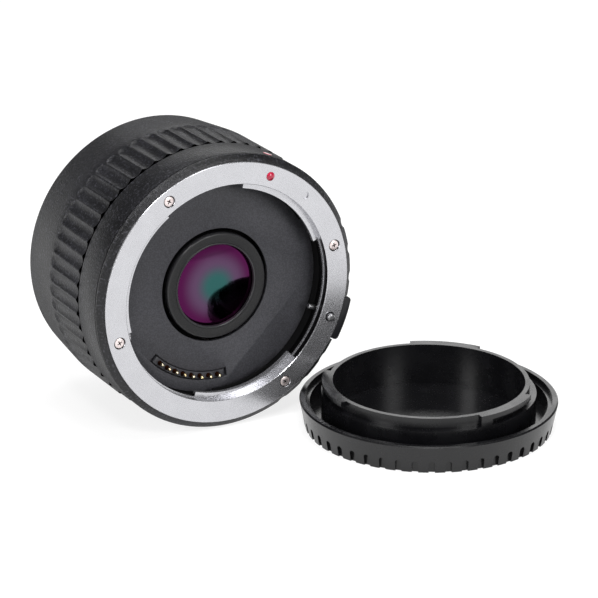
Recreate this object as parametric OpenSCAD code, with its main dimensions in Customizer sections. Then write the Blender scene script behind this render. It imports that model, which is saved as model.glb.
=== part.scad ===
// Camera teleconverter lying on its side, with its mount cap beside it.
// Millimetres, +Z up. The optical axis runs along Y, the front flange face is at Y = 0.
// Depths are measured from the front flange face towards the rear.
// Angles are measured from the index dot, clockwise as seen from the front.

/* [Overall] */
// Distance from the front flange face to the rear flange face
barrel_length = 42; // [40:0.1:48]
// Roll of the barrel about the optical axis as it lies
roll = 22.5; // [0:0.5:45]
// Clearance between fixed pieces that fit in one another
fit = 0.1; // [0.05:0.01:0.2]
// Radial clearance of pieces that slide in a bore
running = 0.05; // [0.02:0.01:0.08]
// Clearance around moving pieces that are not a fit
move_gap = 0.3; // [0.2:0.05:0.5]

/* [Front mount ring] */
// Outer diameter of the mount ring
mount_ring_d = 65; // [64:0.1:68]
// Diameter of the throat
throat_d = 54.2; // [53:0.1:55.5]
// Thickness of the ring plate
ring_t = 2; // [1.8:0.1:2.4]
// Bevel on the ring's edges
ring_bevel = 0.1; // [0.1:0.05:0.5]
// Depth of the tabs below the flange face
tab_depth = 1.9; // [1.5:0.05:2.2]
// Thickness of the tabs
tab_t = 1.1; // [1:0.05:1.6]
// Radial reach of the tabs into the throat
tab_reach = 1.5; // [1.2:0.05:1.8]
// Width of the step in the throat at the tabs' depth
throat_step = 0.35; // [0.2:0.05:0.5]
// Start angles of the three tabs
tab_start = [-11.4, 115, 234.5];
// Sweeps of the three tabs
tab_sweep = [59.4, 61.2, 68.2];
// Wall of the hub behind the ring plate
hub_wall = 0.8; // [0.6:0.05:1]
// Half angle between the screws nearest the index dot
screw_spread = 53.5; // [48:0.5:58]
// Diameter of the mount screw heads
screw_head_d = 2.8; // [2.4:0.1:3]
// Diameter of the mount screw shanks
screw_shank_d = 1.6; // [1.4:0.1:1.8]
// Length of the mount screws below the plate they hold
screw_bite = 5; // [4:0.5:6]
// Depth of the screw heads below the flange face
screw_sink = 0.15; // [0.05:0.05:0.3]
// Height of the countersunk screw heads
screw_head_h = 0.9; // [0.7:0.05:1.1]
// Width of the cross recess in the screw heads
cross_w = 0.4; // [0.3:0.05:0.5]
// Length of the cross recess in the screw heads
cross_len = 1.6; // [1.4:0.1:1.8]
// Depth of the cross recess in the screw heads
cross_h = 0.5; // [0.4:0.05:0.6]
// Diameter of the index dot
dot_d = 2.1; // [1.8:0.1:2.4]
// Height of the index dot's dome
dot_dome = 0.5; // [0.3:0.05:0.6]
// Depth of the index dot's seat
dot_seat = 0.7; // [0.5:0.05:1]
// Angle of the stamped dimple
dimple_angle = 22; // [18:0.5:28]
// Diameter of the stamped dimple
dimple_d = 1.8; // [1.4:0.1:2.2]
// Depth of the stamped dimple
dimple_h = 0.35; // [0.2:0.05:0.5]
// Angle of the stop peg
peg_angle = 87.5; // [80:0.5:95]
// Diameter of the stop peg
peg_d = 1.35; // [1.1:0.05:1.35]
// Reach of the stop peg inside the tabs
peg_reach = 0.3; // [0.2:0.1:1]
// Bite of the stop peg in the frame
peg_bite = 0.5; // [0.3:0.05:0.6]
// Thickness of the bayonet leaf-spring ring
leaf_t = 0.4; // [0.3:0.05:0.5]
// Width of the leaf-spring ring's seat
leaf_seat = 0.8; // [0.6:0.05:1]
// Sweep of each leaf
leaf_sweep = 34; // [26:1:44]

/* [Shells] */
// Radial gap between the mount ring and the front band
ring_gap = 0.05; // [0.03:0.01:0.1]
// Wall of the front band
band_wall = 1.65; // [1.5:0.05:2]
// Depth of the lip's inner edge below the flange face
lip_set = 0.45; // [0.3:0.05:0.6]
// Depth of the lip's slope
lip_slope = 1.1; // [0.8:0.05:1.4]
// Distance from the slope to the lip groove
lip_land = 0.35; // [0.2:0.05:0.5]
// Width of the lip groove
lip_groove_w = 0.3; // [0.15:0.05:0.4]
// Depth of the lip groove
lip_groove_h = 0.4; // [0.2:0.05:0.4]
// Depth of the front band's rear end
band_end = 11.3; // [11.1:0.1:12]
// Bevel at the front band's rear end
band_bevel = 0.2; // [0.1:0.05:0.3]
// Width of the seam between the front band and the grip shell
seam_w = 0.5; // [0.3:0.05:0.6]
// Wall of the grip shell at the flutes
grip_wall = 2; // [1.8:0.05:2.4]
// Number of flutes around the grip
flute_count = 60; // [54:1:64]
// Radius of the flutes
flute_r = 2.8; // [2.4:0.1:3]
// Depth of the flutes
flute_h = 0.55; // [0.3:0.05:0.6]
// Length of the flutes, which open at the seam
flute_len = 14.6; // [13:0.1:16]
// Smooth length between the flutes and the taper
flute_land = 1.6; // [1:0.1:3]
// Drop of the shell's radius to the rear edge
rear_drop = 1.3; // [1:0.05:1.6]
// Rounding of the shell's rear edge
rear_round = 0.9; // [0.6:0.05:1.1]
// Height of the rear flange face over the shell's rear edge
rear_proud = 0.5; // [0.3:0.05:0.8]
// Number of grip notches on each side of the release button
notch_count = 3; // [1:1:4]
// Angle from the release button to the first notch
notch_first = 18; // [16:0.5:22]
// Angle between the notches
notch_pitch = 12; // [10:0.5:13]
// Radius of the notches
notch_r = 2.2; // [1.8:0.1:2.6]
// Depth of the notches
notch_h = 0.45; // [0.3:0.05:0.6]
// Diameter of the index mark on the front band
mark_d = 2.2; // [1.8:0.1:2.6]
// Depth of the index mark's centre behind the flange face
mark_depth = 4.6; // [4:0.1:6]
// Thickness of the index mark
mark_t = 0.6; // [0.4:0.05:0.9]
// Height of the index mark over the band
mark_proud = 0.05; // [0.02:0.01:0.1]

/* [Frame] */
// Inset of the frame's outside from the mount ring
frame_inset = 0.1; // [0.05:0.05:0.2]
// Inset of the frame's rear part
frame_step = 0.6; // [0.4:0.05:0.8]
// Length of the frame's rear part
frame_step_len = 10; // [8:0.5:12]
// Width of the baffle's seat
baffle_seat = 2.2; // [1.8:0.1:2.6]
// Depth of the lens tube's seat
lens_seat_depth = 20; // [19.5:0.1:21]
// Thickness of the rib that carries the lens tube
rib_t = 2.5; // [2:0.1:3]
// Distance from the circuit board's front to the rear plate
board_back = 10; // [8:0.5:11]
// Width of the circuit board's seat
board_seat = 1.3; // [1:0.1:1.6]

/* [Lens] */
// Depth of the front baffle
baffle_depth = 7; // [6.6:0.1:7.6]
// Thickness of the front baffle
baffle_t = 1; // [0.8:0.1:1.2]
// Gap between the baffle and the lens tube
light_gap = 1; // [0.8:0.1:1.4]
// Depth of the lens bezel's face
lens_depth = 6.2; // [6:0.1:8]
// Thickness of the lens bezel
bezel_t = 1; // [0.8:0.1:1.2]
// Slope height of the lens bezel's face
bezel_slope = 0.35; // [0.2:0.05:0.5]
// Clear diameter of the front element
lens_clear_d = 20.5; // [18.5:0.1:21]
// Diameter of the elements
lens_d = 23; // [22.5:0.1:24]
// Wall of the lens tube at the front
tube_wall = 1.68; // [1.4:0.02:2]
// Extra wall of the lens tube behind its flange
tube_rear_extra = 1.7; // [1.2:0.1:2.2]
// Thickness of the lens tube's flange
tube_flange_t = 2.5; // [2:0.1:3]
// Clearance around the lens tube's flange
tube_flange_gap = 0.4; // [0.3:0.05:0.6]
// Distance from the bezel to the first element's edge
front_seat = 0.5; // [0.45:0.05:0.8]
// Edge thickness of the first element
edge_1 = 2.2; // [1.8:0.1:2.6]
// Edge thickness of the second element
edge_2 = 4.6; // [4.4:0.1:5]
// Edge thickness of the third element
edge_3 = 1.8; // [1.5:0.1:2.2]
// Edge thickness of the fourth element
edge_4 = 2.2; // [1.8:0.1:2.6]
// Radius of the first element's front face
lens_1_front_r = 45; // [42:0.5:50]
// Radius of the first element's rear face
lens_1_rear_r = 60; // [54:0.5:70]
// Radius of the second element's front face
lens_2_front_r = 38; // [36:0.5:42]
// Radius of the cemented face
cement_r = 35; // [33:0.5:38]
// Thickness of the cement
cement_t = 0.02; // [0.01:0.01:0.05]
// Radius of the third element's rear face
lens_3_rear_r = 40; // [36:0.5:46]
// Radius of the fourth element's front face
lens_4_front_r = 60; // [54:0.5:70]
// Radius of the fourth element's rear face
lens_4_rear_r = 50; // [45:0.5:60]
// Flat rim of the concave faces
concave_rim = 0.6; // [0.4:0.05:0.8]
// Distance between the edges of the first and second elements
spacer_1_len = 3.1; // [2.8:0.1:3.6]
// Distance between the edges of the third and fourth elements
spacer_2_len = 3.6; // [3.2:0.1:4]
// Wall of the spacers
spacer_wall = 1.1; // [0.9:0.05:1.4]
// Length of the rear retainer
retainer_t = 2; // [1.6:0.1:2.4]
// Wall of the rear retainer
retainer_wall = 1.6; // [1.3:0.05:2]
// Length of the lens tube behind the rear retainer
tube_over = 0.4; // [0.2:0.05:0.6]
// Diameter of the lens tube screws' heads
tube_screw_head_d = 3.2; // [2.8:0.1:3.6]
// Height of the lens tube screws' heads
tube_screw_head_h = 1.2; // [1:0.1:1.4]
// Diameter of the lens tube screws' shanks
tube_screw_d = 1.8; // [1.6:0.1:2]
// Angles of the lens tube screws
tube_screw_angles = [30, 150, 270];

/* [Contacts] */
// Angle of the middle of the contacts
contact_angle = 178; // [172:0.5:184]
// Angle between contact pins
contact_pitch = 6; // [5.6:0.1:6.4]
// Sweep of the contact block's nose
nose_sweep = 51; // [49:1:54]
// Radial width of the contact block's nose
nose_w = 1.7; // [1.65:0.05:2]
// Gap beside the nose in the baffle's window
nose_gap = 0.3; // [0.2:0.05:0.4]
// Angle of the gap at each end of the nose
nose_end_gap = 2; // [1:0.1:3]
// Height of the contact block's nose over the baffle
nose_proud = 0.1; // [0.05:0.05:0.3]
// Height of the contact block behind the baffle
base_h = 2.6; // [2.4:0.1:3.2]
// Radial distance from the nose to the base's inner edge
base_inner = 1.6; // [1.2:0.1:2]
// Sweep of the contact block's base
base_sweep = 64; // [62:1:70]
// Diameter of the contact pins
pin_d = 1.1; // [1:0.05:1.2]
// Height of the contact pins over the contact block
pin_proud = 1.8; // [1.5:0.05:2.4]
// Travel of the contact pins
pin_travel = 1.2; // [0.8:0.05:1.4]
// Floor of the contact pins' bores
pin_floor = 0.6; // [0.5:0.05:0.8]
// Diameter of the rear contact pads
pad_d = 1.6; // [1.4:0.1:1.8]
// Thickness of the rear contact pads
pad_t = 0.25; // [0.15:0.05:0.35]
// Preload of a mating pin on a rear pad
pad_preload = 0.3; // [0.2:0.05:0.4]
// Width of the flexible cables
flex_w = 8; // [6:0.5:9]
// Thickness of the flexible cables
flex_t = 0.25; // [0.2:0.05:0.35]
// Distance of the front cable from the frame's wall
flex_inset = 1.35; // [1.2:0.05:1.6]
// Distance of the rear cable from the rear mount's bore
rear_flex_inset = 0.8; // [0.7:0.05:1]
// Clearance around the cables
flex_gap = 0.4; // [0.3:0.05:0.6]
// Thickness of the circuit board
board_t = 1; // [0.8:0.1:1.2]
// Radial width of the circuit board
board_w = 9.2; // [8:0.1:9.6]
// Length of the control chips
chip_len = 6; // [5:0.1:7]
// Thickness of the control chips
chip_t = 1.2; // [1:0.1:1.4]
// Angles of the control chips
chip_angles = [60, 300];

/* [Release] */
// Angle of the release button
release_angle = 89; // [84:0.5:94]
// Half sweep of the release button
button_half = 9.2; // [8.5:0.1:10]
// Length of the release button
button_len = 7; // [6:0.1:7.4]
// Depth of the release button's front behind the flange face
button_set = 0.9; // [0.6:0.05:1.2]
// Height of the release button over the front band
button_proud = 1; // [0.7:0.05:1.4]
// Corner rounding of the release button
button_round = 0.9; // [0.6:0.05:1]
// Travel of the release button
release_travel = 2.2; // [1.8:0.1:2.4]
// Diameter of the lock pin
lock_d = 2; // [1.8:0.05:2.2]
// Height of the lock pin over the flange face
lock_proud = 1.2; // [0.8:0.1:1.5]
// Clearance of the lock pin's hole in the ring
lock_gap = 0.2; // [0.15:0.05:0.3]
// Depth of the slider's front
slider_depth = 5.2; // [5:0.1:5.3]
// Length of the slider
slider_len = 2.6; // [2.2:0.1:3]
// Width of the slider
slider_w = 4.4; // [4:0.1:5]
// Reach of the slider inside the lock pin's axis
slider_reach = 1.2; // [1.1:0.05:1.4]
// Outer diameter of the return spring
coil_d = 2.6; // [2.4:0.1:2.7]
// Wire diameter of the return spring
coil_wire = 0.4; // [0.3:0.05:0.5]
// Length of the return spring
coil_len = 7; // [6:0.1:7.6]
// Turns of the return spring
coil_turns = 7; // [5:1:8]

/* [Rear mount] */
// Thickness of the rear flange plate
rear_plate_t = 2; // [1.8:0.1:2.4]
// Clearance between the spigot and a mating throat's tabs
spigot_gap = 0.2; // [0.15:0.05:0.3]
// Length of the spigot
spigot_len = 4.7; // [4.6:0.05:5.2]
// Wall of the spigot
spigot_wall = 1.5; // [1.3:0.05:1.7]
// Clearance between the lugs and a mating throat
lug_clear = 0.15; // [0.1:0.05:0.25]
// Thickness of the lugs
lug_t = 1.4; // [1.2:0.05:1.5]
// Clearance of the lugs along the axis
lug_gap = 0.1; // [0.05:0.05:0.15]
// Angle left on each side of a lug in its slot
lug_side = 2; // [1:0.5:4]
// Turn that locks the bayonet
bayonet_turn = 60; // [56:0.5:64]
// Distance of the rear baffle's face from the flange face
rear_baffle_set = 2; // [1.6:0.1:2.4]
// Thickness of the rear baffle
rear_baffle_t = 1; // [0.8:0.1:1.2]
// Width of the rear baffle's ledge
rear_ledge = 0.9; // [0.7:0.05:1.1]
// Width of the rear baffle's window
window_w = 31; // [28:0.5:33]
// Height of the rear baffle's window
window_h = 21; // [18:0.5:22]
// Angles of the rear mount screws
rear_screw_angles = [45, 135, 225, 315];

/* [Cap] */
// Inset of the cap's rim from the mount ring
cap_inset = 1.2; // [0.2:0.05:1.4]
// Height of the cap's rim, where it seats
cap_rim_h = 7; // [6:0.1:7.4]
// Bevel of the cap's rim
cap_bevel = 0.35; // [0.2:0.05:0.7]
// Draft of the cap's outside
cap_draft = 1.3; // [0.8:0.1:1.6]
// Width of the cap's rim
cap_rim_w = 1.4; // [1.2:0.1:2.4]
// Width of the step inside the rim
cap_step_w = 1.1; // [0.5:0.1:1.4]
// Depth of the step inside the rim
cap_step_h = 1.2; // [0.8:0.1:1.6]
// Height of the trough's floor
cap_trough_h = 1.8; // [1.6:0.1:3.2]
// Clearance of the cap's collar in the throat
cap_fit = 1.1; // [0.2:0.05:1.2]
// Height of the collar over the rim
cap_collar_h = 1.6; // [1.5:0.05:2]
// Clearance between the cap's tube and the tabs
cap_tube_gap = 1.25; // [1.1:0.05:1.8]
// Wall of the cap's tube
cap_tube_wall = 1.1; // [1:0.05:1.6]
// Height of the tube over the rim
cap_tube_h = 4.3; // [4.2:0.05:5]
// Thickness of the cap's floor
cap_floor_t = 1.65; // [1.4:0.05:2]
// Inset of the cap's lugs from the throat
cap_lug_inset = 1.25; // [0.7:0.05:1.3]
// Start of each cap lug, from the cap's turn
cap_lug_start = [-20, 88, 218];
// Sweep of each cap lug
cap_lug_sweep = [40, 48, 42];
// Sweep of the stop ribs beside the lugs
cap_rib_sweep = 7; // [1.5:0.1:8]
// Number of finger notches
cap_notch_count = 48; // [40:1:52]
// Width of a finger notch
cap_notch_w = 1.5; // [1:0.1:1.6]
// Depth of a finger notch
cap_notch_d = 1.1; // [0.7:0.05:1.2]
// Height of a finger notch
cap_notch_h = 3; // [2.4:0.1:3.6]
// Gap between the cap and the barrel
cap_gap = 0.85; // [0.4:0.05:3]
// Bearing of the cap from the barrel
cap_bearing = -44.2; // [-50:0.2:-38]
// Turn of the cap about its own axis
cap_turn = 49; // [0:0.2:120]

/* [Hidden] */
$fn = 96;
lens_fn = 240;
cut_over = 1;
weld = 0.2;
tabs = len(tab_start);
contact_count = 8;
coil_rings = 8;
coil_sides = 6;
round_steps = 6;

mount_r = mount_ring_d / 2;
throat_r = throat_d / 2;
tab_bore_r = throat_r - tab_reach;
step_r = throat_r - throat_step;
flange_mid_r = (mount_r + throat_r) / 2;
hub_r = throat_r + hub_wall;
hub_end = tab_depth + tab_t;
screw_angles = [-screw_spread, screw_spread, 180 - screw_spread, 180 + screw_spread];
screw_head_r = screw_head_d / 2;
screw_shank_r = screw_shank_d / 2;
dot_r = dot_d / 2;
dot_sphere_r = (dot_r * dot_r + dot_dome * dot_dome) / (2 * dot_dome);

frame_r = mount_r - frame_inset;
frame_rear_r = frame_r - frame_step;
frame_s0 = ring_t;
frame_s1 = barrel_length - rear_plate_t;
step_s = frame_s1 - frame_step_len;
hub_bore_r = hub_r + fit;
leaf_s0 = hub_end + lug_t + 2 * lug_gap;
leaf_s1 = leaf_s0 + leaf_t;
baffle_bore_r = hub_bore_r - leaf_seat;
baffle_s0 = baffle_depth;
baffle_s1 = baffle_s0 + baffle_t;
core_r = baffle_bore_r - baffle_seat;
rib_s0 = lens_seat_depth;
rib_s1 = rib_s0 + rib_t;
board_r = core_r + board_seat;
board_s0 = frame_s1 - board_back;
board_s1 = board_s0 + board_t;
peg_s = hub_end + lug_gap + lug_t / 2;
peg_r = peg_d / 2;

band_bore_r = mount_r + ring_gap;
band_r = band_bore_r + band_wall;
lip_s1 = lip_set + lip_slope;
groove_s0 = lip_s1 + lip_land;
groove_s1 = groove_s0 + lip_groove_w;
shell_s0 = band_end + seam_w;
shell_bore_r = frame_r + fit;
shell_rear_bore_r = frame_rear_r + fit;
grip_r = shell_bore_r + grip_wall;
flute_end = shell_s0 + flute_len;
taper_s = flute_end + flute_land;
shell_s1 = barrel_length - rear_proud;
rear_edge_r = grip_r - rear_drop;
flute_axis_r = grip_r - flute_h + flute_r;
flute_fade = sqrt(flute_r * flute_r - (flute_r - flute_h) * (flute_r - flute_h));
flute_run = cut_over + flute_len - flute_fade;
notch_axis_r = band_r - notch_h + notch_r;

lens_r = lens_d / 2;
lens_bore_r = lens_r + running;
tube_r = lens_bore_r + tube_wall;
tube_rear_r = tube_r + tube_rear_extra;
tube_flange_r = core_r - tube_flange_gap;
tube_flange_s0 = rib_s0 - tube_flange_t;
rib_bore_r = tube_rear_r + fit;
lens_clear_r = lens_clear_d / 2;
bezel_s0 = lens_depth;
tube_s0 = bezel_s0 + bezel_t;
lens_1_s0 = tube_s0 + front_seat;
lens_1_s1 = lens_1_s0 + edge_1;
lens_2_s0 = lens_1_s1 + spacer_1_len;
lens_2_s1 = lens_2_s0 + edge_2;
lens_3_s1 = lens_2_s1 + edge_3;
lens_4_s0 = lens_3_s1 + spacer_2_len;
lens_4_s1 = lens_4_s0 + edge_4;
retainer_s1 = lens_4_s1 + retainer_t;
tube_s1 = retainer_s1 + tube_over;
concave_r = lens_r - concave_rim;
tube_screw_r = (tube_flange_r + tube_rear_r) / 2;

spacer_in_r = lens_r - spacer_wall;
retainer_in_r = lens_r - retainer_wall;
spacer_1_s0 = lens_1_s1 + edge_rise(lens_1_rear_r, spacer_in_r);
spacer_2_s0 = lens_3_s1 + edge_rise(lens_3_rear_r, spacer_in_r);
spacer_2_s1 = lens_4_s0 - edge_rise(lens_4_front_r, spacer_in_r);
retainer_s0 = lens_4_s1 + edge_rise(lens_4_rear_r, retainer_in_r);

spigot_r = tab_bore_r - spigot_gap;
spigot_in_r = spigot_r - spigot_wall;
rear_screw_r = (frame_rear_r + spigot_r) / 2;
rear_bore_r = spigot_in_r - rear_ledge;
lug_r = step_r - lug_clear;
spigot_s1 = barrel_length + spigot_len;
lug_s0 = barrel_length + hub_end + lug_gap;
rear_baffle_s0 = barrel_length + rear_baffle_set;
rear_baffle_s1 = rear_baffle_s0 + rear_baffle_t;

contact_r = spigot_in_r - fit - nose_w / 2;
nose_r0 = contact_r - nose_w / 2;
nose_r1 = contact_r + nose_w / 2;
nose_s0 = baffle_s0 - nose_proud;
base_r0 = nose_r0 - base_inner;
base_r1 = core_r - fit;
base_s1 = baffle_s1 + base_h;
pin_r = pin_d / 2;
pin_bore_r = pin_r + running;
pin_tip_s = nose_s0 - pin_proud;
pin_bore_s1 = base_s1 - pin_floor;
pin_s1 = pin_bore_s1 - pin_travel - fit;
pad_face_s = barrel_length + pin_tip_s + pad_preload;
rear_block_s1 = pad_face_s - pad_t;
flex_r = core_r - flex_inset;
rear_flex_r = rear_bore_r - rear_flex_inset;
board_r0 = board_r - board_w;
chip_r = board_r - board_w / 2;

lock_r = flange_mid_r;
lock_pin_r = lock_d / 2;
button_r0 = mount_r + move_gap;
button_r1 = band_r + button_proud;
button_s1 = button_set + button_len;
slider_s1 = slider_depth + slider_len;
slot_s1 = max(button_s1, slider_s1) + release_travel + move_gap;
slot_half = button_half + move_gap / band_r * 180 / PI;
slider_slot_w = slider_w + 2 * move_gap;
slider_slot_s1 = slider_s1 + release_travel + move_gap;
coil_r = coil_d / 2;
pocket_r = coil_r + move_gap / 2;
pocket_s1 = slider_s1 + coil_len + release_travel + move_gap;

floor_z = -grip_r;
cap_r = mount_r - cap_inset;
cap_collar_r = throat_r - cap_fit;
cap_tube_r = tab_bore_r - cap_tube_gap;
cap_tube_in_r = cap_tube_r - cap_tube_wall;
cap_lug_r = throat_r - cap_lug_inset;
cap_lug_h = cap_rim_h + hub_end + lug_gap;
cap_tube_top = cap_rim_h + cap_tube_h;
cap_seam_turn = 18.5 * 360 / cap_notch_count;
cap_collar_top = cap_rim_h + cap_collar_h;
cap_rim_z = grip_r - cap_rim_h;
cap_side_x = sqrt(band_r * band_r - cap_rim_z * cap_rim_z);
cap_x = cap_side_x + (cap_r + cap_gap) * cos(cap_bearing);
cap_y = lip_s1 + (cap_r + cap_gap) * sin(cap_bearing);

function sag(face_r, edge_r) = face_r - sqrt(face_r * face_r - edge_r * edge_r);

function edge_rise(face_r, seat_r) = sag(face_r, lens_r) - sag(face_r, seat_r) + running;

function polar(radius, angle) = [radius * sin(angle), -radius * cos(angle)];

function contact_at(i) = contact_angle + (i - (contact_count - 1) / 2) * contact_pitch;

function slot_start(i) = tab_start[i] + tab_sweep[i];

function slot_sweep(i) = (i + 1 < tabs ? tab_start[i + 1] : tab_start[0] + 360) - slot_start(i);

// Turns a piece drawn along Z, with its top towards -Y, into its place on the optical axis.
module barrel_frame() {
  rotate([-90, 0, 0])
    rotate([0, 0, roll])
      children();
}

// Puts a piece at an angle, a radius and a depth, with its own Z along the axis.
module placed(angle, radius, depth) {
  rotate([0, 0, angle])
    translate([0, -radius, depth])
      children();
}

// Round tube between two depths.
module sleeve(r_out, r_in, s0, s1) {
  translate([0, 0, s0])
    difference() {
      cylinder(r = r_out, h = s1 - s0);
      translate([0, 0, -cut_over])
        cylinder(r = r_in, h = s1 - s0 + 2 * cut_over);
    }
}

// Part of a tube between two depths, over a sweep of angles.
module arc_block(r_in, r_out, s0, s1, start, sweep) {
  rotate([0, 0, start - 90])
    rotate_extrude(angle = sweep)
      translate([r_in, s0])
        square([r_out - r_in, s1 - s0]);
}

// Countersunk cross-head screw, its face at depth 0 and its shank towards the rear.
module countersunk_screw(bite) {
  difference() {
    union() {
      cylinder(r1 = screw_head_r, r2 = screw_shank_r, h = screw_head_h);
      cylinder(r = screw_shank_r, h = bite);
    }
    for (turn = [0, 90])
      rotate([0, 0, turn])
        translate([-cross_len / 2, -cross_w / 2, -cut_over])
          cube([cross_len, cross_w, cross_h + cut_over]);
  }
}

// Seat and hole for a countersunk screw.
module countersunk_seat(bite) {
  translate([0, 0, -cut_over])
    cylinder(r = screw_head_r + fit, h = cut_over + screw_sink);
  translate([0, 0, screw_sink])
    cylinder(r1 = screw_head_r + fit, r2 = screw_shank_r + fit, h = screw_head_h);
  cylinder(r = screw_shank_r + fit, h = bite);
}

// Element with two convex faces, given by the depths of its edge.
module convex_element(s0, s1, front_r, rear_r) {
  front_s = s0 - sag(front_r, lens_r);
  rear_s = s1 + sag(rear_r, lens_r);
  intersection() {
    translate([0, 0, front_s])
      cylinder(r = lens_r, h = rear_s - front_s);
    translate([0, 0, front_s + front_r])
      sphere(r = front_r, $fn = lens_fn);
    translate([0, 0, rear_s - rear_r])
      sphere(r = rear_r, $fn = lens_fn);
  }
}

// Flat cable between two depths, its outer face at a radius.
module cable(radius, s0, s1) {
  placed(contact_angle, radius, s0)
    translate([-flex_w / 2, 0, 0])
      cube([flex_w, flex_t, s1 - s0]);
}

// Opening for a flat cable, out to a radius.
module cable_slot(radius, outer_r, s0, s1) {
  placed(contact_angle, outer_r, s0 - cut_over)
    translate([-flex_w / 2 - flex_gap, 0, 0])
      cube([flex_w + 2 * flex_gap, outer_r - radius + flex_t + flex_gap, s1 - s0 + 2 * cut_over]);
}

module front_mount_ring() {
  color("silver")
    barrel_frame()
      difference() {
        union() {
          rotate_extrude()
            polygon([
              [throat_r + ring_bevel, 0],
              [mount_r - ring_bevel, 0],
              [mount_r, ring_bevel],
              [mount_r, ring_t],
              [hub_r, ring_t],
              [hub_r, hub_end],
              [step_r, hub_end],
              [step_r, tab_depth],
              [throat_r, tab_depth],
              [throat_r, ring_bevel]
            ]);
          for (i = [0 : tabs - 1])
            arc_block(tab_bore_r, throat_r + weld, tab_depth, hub_end, tab_start[i], tab_sweep[i]);
        }
        for (angle = screw_angles)
          placed(angle, flange_mid_r, 0)
            countersunk_seat(ring_t + cut_over);
        placed(release_angle, lock_r, -cut_over)
          cylinder(r = lock_pin_r + lock_gap, h = ring_t + 2 * cut_over);
        placed(0, flange_mid_r, -cut_over)
          cylinder(r = dot_r + running, h = dot_seat + cut_over);
        placed(dimple_angle, flange_mid_r, -cut_over)
          cylinder(r = dimple_d / 2, h = dimple_h + cut_over);
      }
}

module front_mount_screws() {
  color("gainsboro")
    barrel_frame()
      for (angle = screw_angles)
        placed(angle, flange_mid_r, screw_sink)
          countersunk_screw(ring_t + screw_bite - screw_sink);
}

module index_dot() {
  color("crimson")
    barrel_frame()
      placed(0, flange_mid_r, 0) {
        cylinder(r = dot_r, h = dot_seat);
        intersection() {
          translate([0, 0, -dot_dome])
            cylinder(r = dot_r, h = dot_dome + dot_seat);
          translate([0, 0, dot_sphere_r - dot_dome])
            sphere(r = dot_sphere_r);
        }
      }
}

module stop_peg() {
  color("darkgray")
    barrel_frame()
      placed(peg_angle, tab_bore_r - peg_reach, peg_s)
        rotate([90, 0, 0])
          cylinder(r = peg_r, h = hub_bore_r + peg_bite - tab_bore_r + peg_reach);
}

module bayonet_spring() {
  color("goldenrod")
    barrel_frame() {
      sleeve(hub_bore_r - fit, baffle_bore_r, leaf_s0, leaf_s1);
      for (i = [0 : tabs - 1])
        arc_block(tab_bore_r, baffle_bore_r + weld, leaf_s0, leaf_s1,
                  tab_start[i] + (tab_sweep[i] - leaf_sweep) / 2, leaf_sweep);
    }
}

module inner_frame() {
  color("dimgray")
    barrel_frame()
      difference() {
        rotate_extrude()
          polygon([
            [hub_bore_r, frame_s0],
            [frame_r, frame_s0],
            [frame_r, step_s],
            [frame_rear_r, step_s],
            [frame_rear_r, frame_s1],
            [board_r + fit, frame_s1],
            [board_r + fit, board_s0],
            [core_r, board_s0],
            [core_r, rib_s1],
            [rib_bore_r, rib_s1],
            [rib_bore_r, rib_s0],
            [core_r, rib_s0],
            [core_r, baffle_s1],
            [baffle_bore_r, baffle_s1],
            [baffle_bore_r, leaf_s1],
            [hub_bore_r, leaf_s1]
          ]);
        for (angle = screw_angles)
          placed(angle, flange_mid_r, 0)
            cylinder(r = screw_shank_r + running, h = ring_t + screw_bite + fit);
        for (angle = rear_screw_angles)
          placed(angle, rear_screw_r, frame_s1 - screw_bite - fit)
            cylinder(r = screw_shank_r + running, h = screw_bite + fit + cut_over);
        for (angle = tube_screw_angles)
          placed(angle, tube_screw_r, rib_s0 - cut_over)
            cylinder(r = tube_screw_d / 2 + running, h = rib_t + 2 * cut_over);
        placed(peg_angle, hub_bore_r - cut_over, peg_s)
          rotate([90, 0, 0])
            cylinder(r = peg_r + running, h = cut_over + peg_bite);
        placed(release_angle, lock_r, frame_s0 - cut_over)
          cylinder(r = lock_pin_r + running, h = slider_depth - frame_s0 + cut_over);
        placed(release_angle, lock_r - slider_reach - move_gap, slider_depth - move_gap)
          rotate([90, 0, 0])
            translate([-slider_slot_w / 2, 0, 0])
              cube([slider_slot_w, slider_slot_s1 - slider_depth + move_gap, frame_r]);
        placed(release_angle, lock_r, slider_s1)
          cylinder(r = pocket_r, h = pocket_s1 - slider_s1);
        cable_slot(flex_r, flex_r + flex_gap, rib_s0, rib_s1);
      }
}

module front_band() {
  color("#3a3a3c")
    barrel_frame()
      difference() {
        rotate_extrude()
          polygon([
            [band_bore_r, lip_set],
            [band_r, lip_s1],
            [band_r, groove_s0],
            [band_r - lip_groove_h, groove_s0],
            [band_r - lip_groove_h, groove_s1],
            [band_r, groove_s1],
            [band_r, band_end - band_bevel],
            [band_r - band_bevel, band_end],
            [band_bore_r, band_end]
          ]);
        arc_block(frame_r - cut_over, button_r1 + cut_over, lip_set - cut_over, slot_s1,
                  release_angle - slot_half, 2 * slot_half);
        for (side = [-1, 1], i = [0 : notch_count - 1])
          placed(release_angle + side * (notch_first + i * notch_pitch), notch_axis_r, -cut_over)
            cylinder(r = notch_r, h = band_end + 2 * cut_over);
        placed(0, band_r - mark_t, mark_depth)
          rotate([90, 0, 0])
            cylinder(r = mark_d / 2 + running, h = mark_t + cut_over);
      }
}

module band_index_mark() {
  color("crimson")
    barrel_frame()
      placed(0, band_r - mark_t, mark_depth)
        rotate([90, 0, 0])
          cylinder(r = mark_d / 2, h = mark_t + mark_proud);
}

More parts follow.
